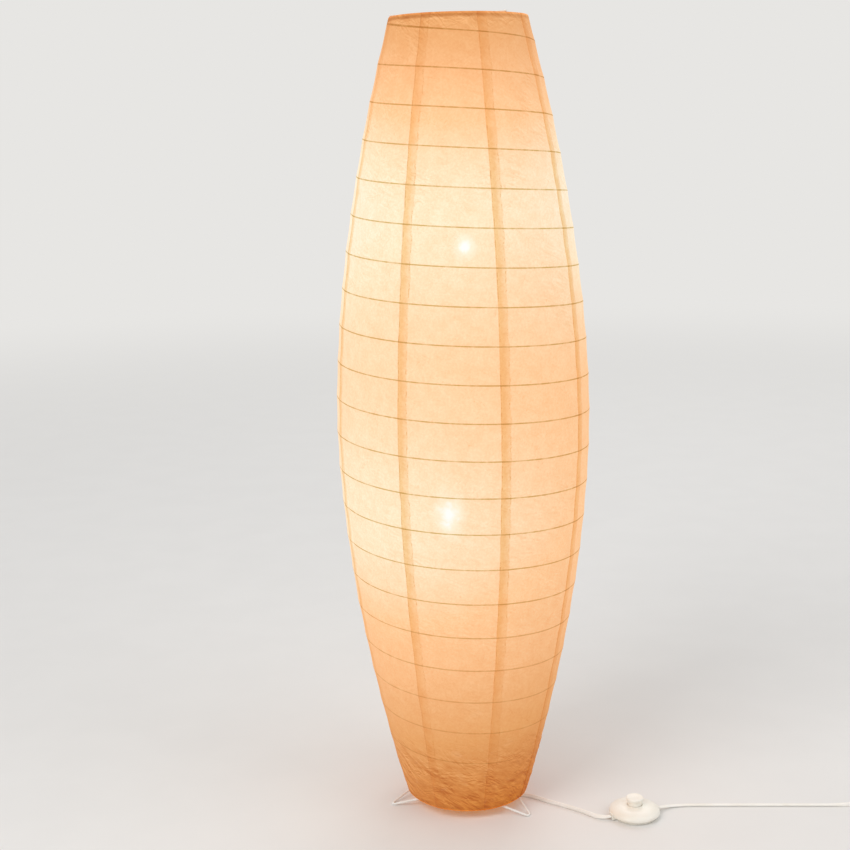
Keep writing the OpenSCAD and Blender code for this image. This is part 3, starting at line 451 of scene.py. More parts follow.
def paperFinish():
    look = paperLook
    material, tree, shader, place = newFinish("washiPaper", Roughness=look["roughness"],
                                              Emission_Strength=look["glowShare"])
    fromSeam, turns, hotField = vectorParts(tree, "paperLayout")
    crease, gathered, folded = vectorParts(tree, "paperCrease")
    flat = addNode(tree, "Attribute", {"attribute_name": "paperFlat"}).outputs["Vector"]
    level, seamShown = vectorParts(tree, "paperFlat")[1:]
    hem = vectorParts(tree, "paperHemShade")[0]
    pulp = noiseOf(tree, place, 60.0, 4.0, 0.62)
    grain = noiseOf(tree, place, 330.0, 3.0, 0.65)
    tone = addNode(tree, "Attribute", {"attribute_name": "paperGlow"}).outputs["Color"]
    tone = pulpAndFibres(tree, place, tone, pulp, grain)
    tone = lappedEdges(tree, place, tone, pulp, fromSeam, seamShown)
    tone, heights = foldedPaper(tree, tone, flat, crease, gathered)
    # painted shade: the hem turned in over the two rings shows darker through the paper against the bulbs'
    # light
    ragged = times(tree, maths(tree, "SUBTRACT", pulp, 0.5), 0.9)
    tone = multiplied(tree, ramp(tree, maths(tree, "ADD", hem, ragged), 0.12, 0.75), tone, look["hemShadeTone"])
    # the bulbs' light spread in the paper, the rib wire's shadow over it, then the bulbs seen through it
    patch = maths(tree, "SUBTRACT", noiseOf(tree, place, 60.0, 2.0, 0.6, 0.8), 0.5)
    halo = maths(tree, "ADD", hotField, times(tree, patch, 1.6))
    core = maths(tree, "ADD", hotField, times(tree, patch, 1.8))
    tone = mixColours(tree, ramp(tree, halo, 0.1, 2.9, 0.0, 0.9), tone, look["haloTone"])
    tone = multiplied(tree, ribShadow(tree, place, turns, level), tone, look["ribShadowTone"])
    tone = mixColours(tree, ramp(tree, core, 1.7, 2.6, 0.0, 1.0), tone, look["hotTone"])
    # painted light along the folded rims
    tone = multiplied(tree, folded, tone, look["rimLightTone"])
    # painted light: the glow is the bulbs' light painted into the paper, and a share of it is also its base
    # colour
    feed(shader, "Emission Color", tone)
    feed(shader, "Base Color", mixColours(tree, 1.0, tone, (*[look["sheetShare"]] * 3, 1), "MULTIPLY"))
    height = times(tree, grain, 0.4)
    height = maths(tree, "ADD", height, times(tree, heights, gathered))
    setBump(tree, shader, maths(tree, "ADD", height, pulp), 0.35, 0.3 * mm)
    return material


finishes = {
    "washi_paper": paperFinish(),
    "rib_wire": ribWireFinish(),
    "shade_wire": coatedWireFinish("coatedShadeWire", (0.85, 0.83, 0.78), (0.42, 0.40, 0.37)),
    "white_wire": coatedWireFinish("coatedStandWire", (0.86, 0.85, 0.82), (0.45, 0.44, 0.42)),
    "white_paint": coatedWireFinish("powderCoat", (0.88, 0.87, 0.84), (0.5, 0.49, 0.47), 0.78),
    "holder_plastic": mouldedFinish("lampholderPlastic", (0.90, 0.87, 0.78), 0.42),
    "brass": bareMetalFinish("spunBrass", (0.80, 0.63, 0.33), (0.52, 0.36, 0.16), 0.26),
    "bulb_glass": bulbGlassFinish(),
    "bulb_cap_metal": bulbCapFinish(),
    "zinc_steel": bareMetalFinish("zincPlate", (0.68, 0.68, 0.67), (0.48, 0.49, 0.50), 0.34),
    "nickel_pins": bareMetalFinish("nickelPlate", (0.80, 0.79, 0.76), (0.62, 0.60, 0.56), 0.16, 90.0,
                                   (1, 0.1, 1)),
    "cord_sheath": cordFinish(),
    "stand_plastic": mouldedFinish("standPlastic", (0.90, 0.88, 0.82), 0.44),
    "switch_plastic": mouldedFinish("switchPlastic", (0.91, 0.875, 0.79), 0.34, 0.008, 0.25),
    "plug_plastic": mouldedFinish("plugPlastic", (0.92, 0.90, 0.85), 0.36, 0.010, 0.2),
}
for part in frame["record"]["subparts"]:
    cadMesh = cadNodes[part["node"]].data
    for i in range(max(1, len(cadMesh.materials))):
        if i < len(cadMesh.materials):
            cadMesh.materials[i] = finishes[part["material_slot"]]
        else:
            cadMesh.materials.append(finishes[part["material_slot"]])
print("finishes made:", len(finishes))


# free cord on the floor, in two lengths either side of the foot switch

cordFacts = {"width": 6 * mm, "thickness": 3.2 * mm, "sides": 16, "power": 0.8, "step": 1.5 * mm,
             "overFloor": 0.1 * mm}
gripFacts = {"turn": -9.5, "face": 23 * mm, "sleeve": 18 * mm, "z": 9 * mm}
switchFacts = {"at": np.array([236.5, -74.0]) * mm, "turn": 20.0, "radius": 35.8 * mm, "glandOut": 0.7 * mm,
               "glandZ": 5 * mm}
coilFacts = {"x": 605 * mm, "radius": 37.2 * mm, "step": 4.2 * mm, "turns": 3, "layerStep": 6.8 * mm,
             "lastTurn": 0.25, "steps": 96, "plugThick": 13.7 * mm}
# x, y and rise over where it rests, in millimetres, and the turn of its flat side: 0 lying, 90 on edge
routeToSwitch = [
    (48, -8, 6.9, 5), (56, -9.5, 5.1, 20), (64, -11, 2.6, 40), (72, -12.5, 0.9, 65), (80, -14.4, 0.1, 85),
    (88, -17, 0, 90), (96, -21, 0, 90), (105, -27, 0, 90), (115, -34.4, 0, 90), (126.5, -41.9, 0, 90),
    (138.5, -49.6, 0, 90), (150, -57.4, 0, 90), (160, -64.6, 0, 90), (168.5, -71.5, 0, 86),
    (175.5, -77.9, 0.3, 75), (181.1, -82.9, 0.8, 60), (186, -86.2, 1.6, 42), (192, -88, 2.5, 22),
    (198, -87.7, 3.2, 6)]
routeToCoil = [
    (277.5, -58.9, 3.1, 0), (284.5, -55.6, 2.3, 0), (292, -52, 1.1, 0), (300, -49.3, 0.3, 0),
    (310, -47.7, 0, 0), (323, -47.1, 0, 0), (338, -47, 0, 0), (353, -47, 0, 0), (370, -47.1, 0, 0),
    (387, -47.2, 0, 0), (403, -47.3, 0, 0), (418, -47.5, 0, 0), (433, -47.7, 0, 0), (448, -47.9, 0, 0),
    (463, -48.1, 0, 0), (478, -48.3, 0, 0), (493, -48.5, 0, 0), (508, -48.7, 0, 0), (523, -48.8, 0, 5),
    (537, -48.9, 0, 25), (550, -49, 0, 50), (563, -49, 0, 75), (577, -49, 0, 90)]


def restHeight(degrees):
    turn = np.radians(degrees)
    wide, thick = cordFacts["width"] / 2 * np.sin(turn), cordFacts["thickness"] / 2 * np.cos(turn)
    return cordFacts["overFloor"] + np.hypot(wide, thick)


def floorRoute(points, start=None, end=None):
    rows = [[x * mm, y * mm, rise * mm, turn] for x, y, rise, turn in points]
    for port, place in ((start, 0), (end, len(rows) + 1)):
        if port is not None:
            rows.insert(place, [port[0], port[1], port[2] - restHeight(0), 0])
    dense = smoothRoute(rows, cordFacts["step"])
    path = dense[:, :3].copy()
    turn = np.clip(dense[:, 3], 0, 90)
    path[:, 2] = np.maximum(dense[:, 2], 0) + restHeight(turn)
    ahead = unitRows(np.gradient(path[:, :2], axis=0))
    side = np.stack([ahead[:, 1], -ahead[:, 0], np.zeros(len(ahead))], axis=1)
    turn = np.radians(turn)[:, None]
    return path, side * np.sin(turn) + np.array([0, 0, 1.0]) * np.cos(turn)


gripMouth = polar(gripFacts["face"] + gripFacts["sleeve"], gripFacts["turn"], gripFacts["z"])
switchCentre = np.array([*switchFacts["at"], switchFacts["glandZ"]])
glandReach = polar(switchFacts["radius"] + switchFacts["glandOut"], switchFacts["turn"])
pathToSwitch, thinToSwitch = floorRoute(routeToSwitch, gripMouth, switchCentre - glandReach)
pathOut, thinOut = floorRoute(routeToCoil, switchCentre + glandReach)

# the put-away coil: three turns inwards, half a turn of climb, three turns out again on top
coilLead = pathOut[-1]
coilCentre = np.array([coilFacts["x"], coilLead[1] - coilFacts["radius"]])
coilAt = np.arange(0, 2 * coilFacts["turns"] + coilFacts["lastTurn"] + 1e-9, 1 / coilFacts["steps"])
coilRadius = coilFacts["radius"] - coilFacts["step"] * np.where(
    coilAt < coilFacts["turns"], coilAt, 2 * coilFacts["turns"] - coilAt)
coilClimb = np.clip(2 * (coilAt - coilFacts["turns"]) + 0.5, 0, 1)
coilHeight = restHeight(90) + coilFacts["layerStep"] * (1 - np.cos(np.pi * coilClimb)) / 2
coilTurn = np.radians(90 - 360 * coilAt)
coilPath = np.stack([coilCentre[0] + coilRadius * np.cos(coilTurn),
                     coilCentre[1] + coilRadius * np.sin(coilTurn), coilHeight], axis=1)
coilThin = np.stack([np.cos(coilTurn), np.sin(coilTurn), 0 * coilTurn], axis=1)
leadIn = np.array([coilLead + [x * mm, 0, 0] for x in (3, 6, 10, 14, 18, 22, 25)])
coilLast = coilPath[-1]
tailDrop = coilLast[2] - coilFacts["plugThick"] / 2
tailRows = smoothRoute([coilLast - [0, y * mm, drop * tailDrop] for y, drop in
                        ((0, 0), (8, 0), (13, 0.12), (18, 0.4), (23, 0.72), (27, 0.93), (32, 1))],
                       cordFacts["step"])
pathToPlug = np.concatenate([pathOut, leadIn, coilPath, tailRows[1:]])
thinToPlug = np.concatenate([thinOut, np.tile([0, 1.0, 0], (len(leadIn), 1)), coilThin,
                             np.tile([1.0, 0, 0], (len(tailRows) - 1, 1))])


def lengthOf(path):
    return float(np.linalg.norm(np.diff(path, axis=0), axis=1).sum())


def cordPiece(name, path, thin, nodes):
    points, faces = ovalTube(path, thin, cordFacts["width"], cordFacts["thickness"], cordFacts["sides"],
                             cordFacts["power"])
    piece = newMesh(name, points, faces, "stand", "cord_sheath")
    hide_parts(*nodes)
    print(name, "length %.3f m" % lengthOf(path))
    return piece


cordLampToSwitch = cordPiece("cordLampToSwitch", pathToSwitch, thinToSwitch, ["cord_to_switch"])
cordSwitchToPlug = cordPiece("cordSwitchToPlug", pathToPlug, thinToPlug, ["cord_to_plug", "cord_coil"])
print("cords laid")


# leads inside the stand, from the hub to the two lampholders

leadFacts = {"radius": 7 * mm, "spliceTurn": -25, "spliceTop": 98, "spliceLow": 58, "spliceMid": 12.4,
             "spread": 6.5, "spliceSwing": 52, "lowRun": (143, 269), "lowSteps": 9, "highRun": (365, 649),
             "highSteps": 16, "lowerTurn": -127, "upperTurn": 76, "slotTurn": 53, "lowerLight": 425,
             "upperLight": 805, "step": 2 * mm}


def climbRoute(turns, heights, steps):
    rows = []
    for i in range(steps + 1):
        s = i / steps
        rows.append(polar(leadFacts["radius"], turns[0] + (turns[1] - turns[0]) * softStep(s, 0, 1),
                          (heights[0] + (heights[1] - heights[0]) * s) * mm))
    return rows


def outOfSplice(side):
    middle = polar(leadFacts["spliceMid"] * mm, leadFacts["spliceTurn"])
    aside = polar(leadFacts["spread"] * side * mm, leadFacts["spliceTurn"] + 90)
    return [np.array([middle[0] * a + aside[0] * b, middle[1] * a + aside[1] * b,
                      (leadFacts["spliceTop"] + rise) * mm])
            for a, b, rise in ((1, 1, 0), (1, 1, 6), (0.93, 0.95, 13), (0.8, 0.85, 21), (0.68, 0.72, 29))]


def intoHolder(height, turn):
    return [polar(radius * mm, turn, (height + rise) * mm) for radius, rise in (
        (7.8, -146), (12, -137.5), (18, -131.5), (25, -126.5), (31, -121.5), (34.6, -116), (36, -110.5),
        (36, -104), (36, -97.5))]


def leadPiece(name, rows, node):
    path = smoothRoute(rows, leadFacts["step"])
    cordPiece(name, path, unitRows(path * [1, 1, 0]), [node])


facts = leadFacts
spliceOut = [facts["spliceTurn"] + side * facts["spliceSwing"] for side in (-1, 1)]
lowerRows = outOfSplice(-1)
lowerRows += climbRoute((spliceOut[0], facts["lowerTurn"]), facts["lowRun"], facts["lowSteps"])
lowerRows += intoHolder(facts["lowerLight"], facts["lowerTurn"])
leadPiece("lowerHolderLead", lowerRows, "lower_lead")
upperRows = outOfSplice(1)
upperRows += climbRoute((spliceOut[1], facts["slotTurn"]), facts["lowRun"], facts["lowSteps"])
upperRows += climbRoute((facts["slotTurn"], facts["upperTurn"]), facts["highRun"], facts["highSteps"])
upperRows += intoHolder(facts["upperLight"], facts["upperTurn"])
leadPiece("upperHolderLead", upperRows, "upper_lead")
hubRows = [(18.5, -9.5, 17), (18.5, -9.5, 24), (17.4, -12, 32), (15.6, -17, 41), (14, -22, 50),
           (facts["spliceMid"], facts["spliceTurn"], facts["spliceLow"])]
leadPiece("hubToSpliceLead", [polar(r * mm, turn, z * mm) for r, turn, z in hubRows], "base_lead")
print("leads run")


# spring under the foot button

springFacts = {"radius": 4.8 * mm, "wire": 0.8 * mm, "low": 2.6 * mm, "high": 17.2 * mm, "turns": 6,
               "travel": 3 * mm, "steps": 36, "sides": 8}
springAt = np.linspace(0, springFacts["turns"], springFacts["turns"] * springFacts["steps"] + 1)
springPath = np.stack([springFacts["radius"] * np.cos(2 * np.pi * springAt),
                       springFacts["radius"] * np.sin(2 * np.pi * springAt),
                       springFacts["low"] + (springFacts["high"] - springFacts["low"]) * springAt
                       / springFacts["turns"]], axis=1)
turned = math.radians(switchFacts["turn"])
spin = np.array([[math.cos(turned), math.sin(turned), 0],
                 [-math.sin(turned), math.cos(turned), 0], [0, 0, 1]])
springThin = unitRows(springPath * [1, 1, 0]) @ spin
springPath = springPath @ spin + [*switchFacts["at"], 0]
springPoints, springFaces = ovalTube(springPath, springThin, springFacts["wire"], springFacts["wire"],
                                     springFacts["sides"])
buttonSpring = newMesh("buttonSpring", springPoints, springFaces, "stand", "zinc_steel")
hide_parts("switch_spring")
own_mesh(buttonSpring)
print("switch spring wound")


# shade: eight gores of washi pasted over one wound rib wire

shade = {
    "top": 1.104, "bottom": 0.014, "belly": 0.5636, "bellyRadius": 0.1755, "topRadius": 0.092,
    "bottomRadius": 0.0875, "power": 1.8, "gores": 8, "seamTurn": 18.0, "sheet": 0.0003,
    "firstRib": 1.0854, "pitch": ribPitch,
    "tuck": 0.0042,  # how much lower the winding lies at the top than even turns would
    "tuckFade": 0.07,
    "tuckRim": (1.100, 1.086),
    "lap": lapWidth,
    "lift": 0.00042,  # rise of the upper layer on a lap
    "lapEnd": 0.0045,  # it comes down again over this width
    "seamShift": 0.0012,  # of every gore round the shade
    "pull": 0.0008,  # how far the paper draws in between two ribs
    "slack": 0.0005,  # how much that differs from place to place
    "gather": 0.0011,  # height of the gathers in the lowest band
    "gatherBand": (0.150, 0.055),
    "hemGather": 0.0005,  # height of the creases in the top hem
    "hemGatherBand": (1.072, 1.102),
    "fray": 0.0009,  # how far a gore's cut edge wanders
    "frayLength": 0.013,
    "ragged": 0.002,  # how far from straight a folded edge is
}
goreGrid = {
    "rowsPerRib": 14, "columns": 26,
    "nearColumns": (0, 0.0025, 0.005, 0.0075, 0.010, 0.012, 0.0137, 0.0155, 0.018),  # on the lapped edge
    "topRows": (1.1036, 1.1026, 1.1012, 1.0995),
    "evenRowsBelowTop": 0.006,
    "fineFrom": 0.148,  # finer rows where the paper is gathered
    "fineStep": 0.0017,
    "fineTo": 0.0205,
    "lowRows": (0.0185, 0.0168, 0.0155, 0.0146),
}
# painted light of each bulb on the paper: its glow and its bright spot
bulbSpots = {
    "lower": {
        "centre": (-0.0217, -0.0287, 0.425),
        "lift": 0.0124,  # of the glow's middle over the centre
        "height": 1.4185, "width": 0.2001,  # of its glow on the paper
        "spot": (-6.7, 0.4707),  # turn and height of its bright spot
        "size": (0.0105, 0.0155),  # of the spot, across and up
    },
    "upper": {
        "centre": (0.0087, 0.0349, 0.805), "lift": 0.0388, "height": 9.0, "width": 0.0410,
        "spot": (1.9, 0.8138), "size": (0.0078, 0.0078),
    },
}
glowFacts = {
    "base": -0.3664, "power": 1.5323, "most": 0.9,
    "lean": -0.26,  # change for each metre to the right
    "lowDim": 0.035, "lowBand": (0.17, 0.06),
    "topDim": 0.075, "topBand": (0.96, 1.07), "topSides": (0.55, 0.45),  # strongest on the left
    "sideDim": 0.05, "sideBand": (0.1, 0.7),  # on the right, beside the upper bulb
    "sideLow": (0.70, 0.80), "sideHigh": (1.00, 0.90),
    "spotReach": 3.0,  # in sizes of the spot
    "backSpot": 0.8,  # strength of a spot on the back of the shade
}
# colours of the painted glow of the bulbs' light through the paper, from dim to bright
glowStops = [0.0, 0.2, 0.4, 0.6, 0.8, 1.0]
glowColours = np.array([(0.562, 0.160, 0.009), (0.811, 0.377, 0.126), (0.970, 0.517, 0.237),
                        (1.045, 0.627, 0.326), (1.049, 0.838, 0.577), (1.050, 0.93, 0.74)])
paperReads = {
    "flatRadius": 0.1,  # the finish works on the paper laid flat from a drum of this radius
    "gatheredLow": 0.85, "gatheredTop": 0.4, "gatheredLeast": 0.05,
    "patches": 0.10, "topPatches": 0.12, "topPatchBand": (0.75, 0.95),
    "seamLeast": 0.45, "seamBand": (0.08, 0.42), "seamTopLoss": 0.4, "seamTopBand": (0.90, 1.05),
    "creaseTop": 0.7,
    "edgeBand": (0.0012, 0.0028),  # from a folded edge, where light comes through the fold
    "hemTopBand": (0.0085, 0.0055), "hemTopShare": 0.34, "hemTopSwing": 0.30, "hemTopTurn": 62,
    "hemTopMore": 0.25,
    "hemLowBand": (0.014, 0.0035), "hemLowShare": 0.40,
}


def shadeRadius(z):
    up = z > shade["belly"]
    reach = np.where(up, shade["top"] - shade["belly"], shade["belly"] - shade["bottom"])
    end = np.where(up, shade["topRadius"], shade["bottomRadius"])
    s = np.clip(np.abs(z - shade["belly"]) / reach, 0, 1)
    return shade["bellyRadius"] - (shade["bellyRadius"] - end) * s ** shade["power"]


def topTuck(evenZ):
    fading = np.exp(-np.maximum(0, shade["firstRib"] - evenZ) / shade["tuckFade"])
    return shade["tuck"] * fading * softStep(evenZ, *shade["tuckRim"])


def ribTurns(azimuth, z):
    evenZ = z  # where the winding would be if its turns weren't closer together at the top
    for i in range(6):
        evenZ = z + topTuck(evenZ)
    return (shade["firstRib"] - evenZ) / shade["pitch"] - azimuth / 360.0


def creaseField(azimuth, z):
    around, along = azimuth / 360.0, z / 0.628  # both in turns of a 100 mm radius
    bend = latticeNoise(around * 24, along * 24, 5, 24) - 0.5
    steep = latticeNoise(42 * around + 74 * along + 1.6 * bend, 16 * (around - along), 11)
    level = latticeNoise(24 * around, 105 * along + 3.0 * bend, 17, 24)
    ridged = 1 - np.abs(2 * steep - 1)
    layered = 1 - np.abs(2 * level - 1)
    share = softStep(latticeNoise(around * 9, along * 9, 23, 9), 0.35, 0.65)
    return (ridged ** 1.5) * (1 - 0.6 * share) + (layered ** 1.5) * 0.6 * share


def gatherAmount(z):
    return softStep(z, *shade["gatherBand"]), softStep(z, *shade["hemGatherBand"])


# painted light: the bulbs' light through the paper, brightest near each bulb and to the left, with painted
# shade low down, at the top and on the right
def paperGlowAt(points):
    glow = glowFacts
    value = glow["base"] + glow["lean"] * points[:, 0]
    for facts in bulbSpots.values():
        centre = np.array(facts["centre"]) + [0, 0, facts["lift"]]
        away = np.linalg.norm(points - centre, axis=1)
        value += facts["height"] / (1 + (away / facts["width"]) ** glow["power"])
    z, aside = points[:, 2], points[:, 0] / np.hypot(points[:, 0], points[:, 1])
    value -= glow["lowDim"] * softStep(z, *glow["lowBand"])
    leftward = glow["topSides"][0] - glow["topSides"][1] * aside
    value -= glow["topDim"] * softStep(z, *glow["topBand"]) * leftward
    rightward = glow["sideDim"] * softStep(aside, *glow["sideBand"])
    value -= rightward * softStep(z, *glow["sideLow"]) * softStep(z, *glow["sideHigh"])
    value = np.clip(value, 0, glow["most"])
    return np.stack([np.interp(value, glowStops, glowColours[:, i]) for i in range(3)], axis=1)


# painted highlight: the bright spot where each bulb shows through the paper, and a weaker one on the far
# side
def hotFieldAt(azimuth, z):
    reach = glowFacts["spotReach"]
    field = np.zeros(len(azimuth))
    for facts in bulbSpots.values():
        across, height = facts["spot"]
        radius = float(shadeRadius(np.array(height)))
        for opposite, strength in ((0, 1.0), (180, glowFacts["backSpot"])):
            sideways = np.radians((azimuth - (across + opposite) + 180) % 360 - 180) * radius
            away = np.hypot(sideways / facts["size"][0], (z - height) / facts["size"][1])
            field = np.maximum(field, strength * np.clip(reach - away, 0, reach))
    return field


def goreRows(middle):
    step = shade["pitch"] / goreGrid["rowsPerRib"]
    first = shade["firstRib"] - shade["pitch"] * (middle / 360.0 + 1)
    z = first + step * math.floor((shade["top"] - goreGrid["evenRowsBelowTop"] - first) / step)
    rows = []
    while z > goreGrid["fineFrom"]:
        rows.append(z)
        z -= step
    while z > goreGrid["fineTo"]:
        rows.append(z)
        z -= goreGrid["fineStep"]
    return np.array([*goreGrid["topRows"], *rows, *goreGrid["lowRows"]])


# the turned-in hems: how far in from the outside, and the height
topFold = np.array([
    (-3.65, 1095.0), (-3.65, 1097.2), (-3.65, 1099.4), (-3.65, 1101.2), (-3.6, 1102.5),
    (-3.3, 1103.4), (-2.75, 1103.95), (-2.05, 1104.15), (-1.2, 1104.18), (-0.5, 1104.05)]) * mm
bottomFold = np.array([
    (-0.45, 13.85), (-1.2, 13.7), (-2.05, 13.66), (-2.8, 13.85), (-3.3, 14.4),
    (-3.6, 15.4), (-3.65, 16.8), (-3.65, 18.6), (-3.65, 20.6), (-3.65, 22.6)]) * mm


def goreLevels(middle):
    mainRows = goreRows(middle)
    inward = np.concatenate([topFold[:, 0], np.zeros(len(mainRows)), bottomFold[:, 0]])
    level = np.concatenate([topFold[:, 1], mainRows, bottomFold[:, 1]])
    inMain = np.zeros(len(level))
    inMain[len(topFold):len(level) - len(bottomFold)] = 1
    return level, inward, inMain


def goreColumns(k, startTurn, level):
    # close together on the lapped edge, then even to the other seam
    radius = shadeRadius(level)
    near = np.array(goreGrid["nearColumns"])
    width = np.radians(360.0 / shade["gores"]) * radius + shade["lap"]
    even = np.linspace(0, 1, goreGrid["columns"])[1:]
    wide = near[-1] + (width - near[-1])[:, None] * even[None]
    arcs = np.concatenate([np.tile(near, (len(level), 1)), wide], axis=1)
    azimuth = startTurn + np.degrees((arcs - shade["lap"] / 2 + shade["seamShift"]) / radius[:, None])
    frayed = (latticeNoise(0 * level + k * 7.0, level / shade["frayLength"], 41) - 0.5) * shade["fray"]
    return arcs, azimuth + np.degrees(frayed / radius)[:, None] * softStep(arcs, 0.006, 0.0)


def paperRise(arcs, azimuth, z, turns, gathers, crease, inMain):
    phase = turns - np.floor(turns)
    between = 1 - np.abs(2 * phase - 1) ** 2.2
    calm = softStep(np.minimum(shade["top"] - z, z - shade["bottom"]), 0.002, 0.02)
    slack = latticeNoise(azimuth / 360 * 40, z / 0.035, 3, 40) - 0.5
    gatherLow, gatherTop = gathers
    rise = (-shade["pull"] * between * calm * (1 - 0.5 * gatherLow) + shade["slack"] * slack * calm
            + crease * (shade["gather"] * gatherLow + shade["hemGather"] * gatherTop)
            * (0.35 + 0.65 * calm) * inMain[:, None])
    lapped = 1 - softStep(arcs, shade["lap"], shade["lap"] + shade["lapEnd"])
    return rise + shade["lift"] * lapped


def sheetSolid(sheet):
    # both sides of the paper, and the cut edge round them
    rows, columns = sheet.shape[:2]
    normal = unitRows(np.cross(np.gradient(sheet, axis=0), np.gradient(sheet, axis=1)))
    outer = sheet + normal * shade["sheet"] / 2
    inner = sheet - normal * shade["sheet"] / 2
    points = np.concatenate([outer.reshape(-1, 3), inner.reshape(-1, 3)])
    grid = np.arange(rows * columns).reshape(rows, columns)
    a, b, c, d = grid[:-1, :-1], grid[1:, :-1], grid[1:, 1:], grid[:-1, 1:]
    front = np.stack([a, b, c, d], axis=2).reshape(-1, 4)
    back = front[:, ::-1] + rows * columns
    rim = np.concatenate([grid[0, :], grid[1:, -1], grid[-1, -2::-1], grid[-2:0:-1, 0]])
    after = np.roll(rim, -1)
    sides = np.stack([rim, after, after + rows * columns, rim + rows * columns], axis=1)
    return points, np.concatenate([front, back, sides]).tolist()


def paperReadings(arcs, azimuth, z, turns, gathers, crease):
    # what the paper's finish reads at every point of the sheet
    read = paperReads
    gatherLow, gatherTop = gathers
    flatTurn = azimuth.reshape(-1)
    flatZ = np.clip(z, shade["bottom"], shade["top"]).reshape(-1)
    radius = shadeRadius(flatZ)
    glow = paperGlowAt(np.stack([radius * np.sin(np.radians(flatTurn)),
                                 -radius * np.cos(np.radians(flatTurn)), flatZ], axis=1))
    patches = softStep(latticeNoise(azimuth / 360 * 14, z / 0.06, 51, 14), 0.35, 0.9)
    patchy = (read["patches"] + read["topPatches"] * softStep(z, *read["topPatchBand"])) * patches
    gathered = gatherLow * read["gatheredLow"] + gatherTop * read["gatheredTop"]
    gathered = np.clip(gathered + read["gatheredLeast"] + patchy, 0, 1).reshape(-1)
    seamShown = read["seamLeast"] + (1 - read["seamLeast"]) * softStep(flatZ, *read["seamBand"])
    seamShown = seamShown * (1 - read["seamTopLoss"] * softStep(flatZ, *read["seamTopBand"]))
    creased = np.clip(gatherLow + read["creaseTop"] * gatherTop, 0, 1)
    creaseShown = (0.5 + (crease - 0.5) * creased).reshape(-1)
    fromEdge = np.minimum(shade["top"] - z, z - shade["bottom"])
    edgeTurned = np.clip(1 - softStep(fromEdge, *read["edgeBand"]), 0, 1).reshape(-1)
    # painted shade of the top hem, deepest on one side
    hemShadeShare = read["hemTopShare"] + read["hemTopSwing"] * np.cos(np.radians(azimuth + read["hemTopTurn"]))
    topBand = [shade["top"] - below for below in read["hemTopBand"]]
    lowBand = [shade["bottom"] + over for over in read["hemLowBand"]]
    hem = np.maximum(softStep(z, *topBand) * (hemShadeShare + read["hemTopMore"]),
                     read["hemLowShare"] * softStep(z, *lowBand)).reshape(-1)
    layers = {
        "paperHemShade": np.stack([hem, 0 * hem, 0 * hem], axis=1),
        "paperFlat": np.stack([np.radians(flatTurn) * read["flatRadius"], flatZ, seamShown], axis=1),
        "paperLayout": np.stack([arcs.reshape(-1), turns.reshape(-1), hotFieldAt(flatTurn, flatZ)], axis=1),
        "paperCrease": np.stack([creaseShown, gathered, edgeTurned], axis=1),
    }
    return layers, np.concatenate([glow, np.ones((len(glow), 1))], axis=1)


def writeLayer(piece, name, kind, field, values):
    layer = piece.data.attributes.new(name, kind, "POINT")
    layer.data.foreach_set(field, np.concatenate([values, values]).astype(np.float32).ravel())


def flatMeasures(sheet):
    across = np.linalg.norm(np.diff(sheet, axis=1), axis=2)
    down = np.linalg.norm(np.diff(sheet, axis=0), axis=2)
    area = float(((across[:-1] + across[1:]) / 2 * (down[:, :-1] + down[:, 1:]) / 2).sum())
    return (float(across.sum(axis=1).max()), float(down.sum(axis=0).max())), area


def buildGore(k):
    goreTurn = 360.0 / shade["gores"]
    startTurn = shade["seamTurn"] + goreTurn * k
    middle = startTurn + goreTurn / 2
    level, inward, inMain = goreLevels(middle)
    arcs, azimuth = goreColumns(k, startTurn, level)
    # rows follow the winding, and level out at the rims
    sway = softStep(shade["top"] - level, 0.004, 0.034) * softStep(level - shade["bottom"], 0.006, 0.034)
    z = level[:, None] - shade["pitch"] * (azimuth - middle) / 360.0 * (sway * inMain)[:, None]
    turns = ribTurns(azimuth, z)
    gathers = gatherAmount(z)
    crease = creaseField(azimuth % 360.0, z)
    rise = paperRise(arcs, azimuth, z, turns, gathers, crease, inMain)
    # the edge of a fold isn't cut quite straight
    ragged = (latticeNoise(azimuth / 360 * 60, 0 * z, 31, 60) - 0.5) * shade["ragged"]
    atEdge = np.zeros(len(level))
    atEdge[:4] = [1, 0.75, 0.5, 0.25]
    atEdge[-4:] = [-0.25, -0.5, -0.75, -1]
    z = z + ragged * atEdge[:, None]
    onCurve = shadeRadius(np.clip(z, shade["bottom"], shade["top"]))
    radius = onCurve - shade["sheet"] / 2 + inward[:, None] + rise
    turn = np.radians(azimuth)
    sheet = np.stack([radius * np.sin(turn), -radius * np.cos(turn), z], axis=2)
    points, faces = sheetSolid(sheet)
    piece = newMesh("washiGore%d" % (k + 1), points, faces, "shade", "washi_paper")
    layers, glow = paperReadings(arcs, azimuth, z, turns, gathers, crease)
    for key, values in layers.items():
        writeLayer(piece, key, "FLOAT_VECTOR", "vector", values)
    writeLayer(piece, "paperGlow", "FLOAT_COLOR", "color", glow)
    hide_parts("paper_gore_%d" % (k + 1))
    return piece, *flatMeasures(sheet)


for k in range(shade["gores"]):
    gore, flatSize, flatArea = buildGore(k)
    print(gore.name, "flat %.3f x %.3f m, %.4f m2" % (*flatSize, flatArea))

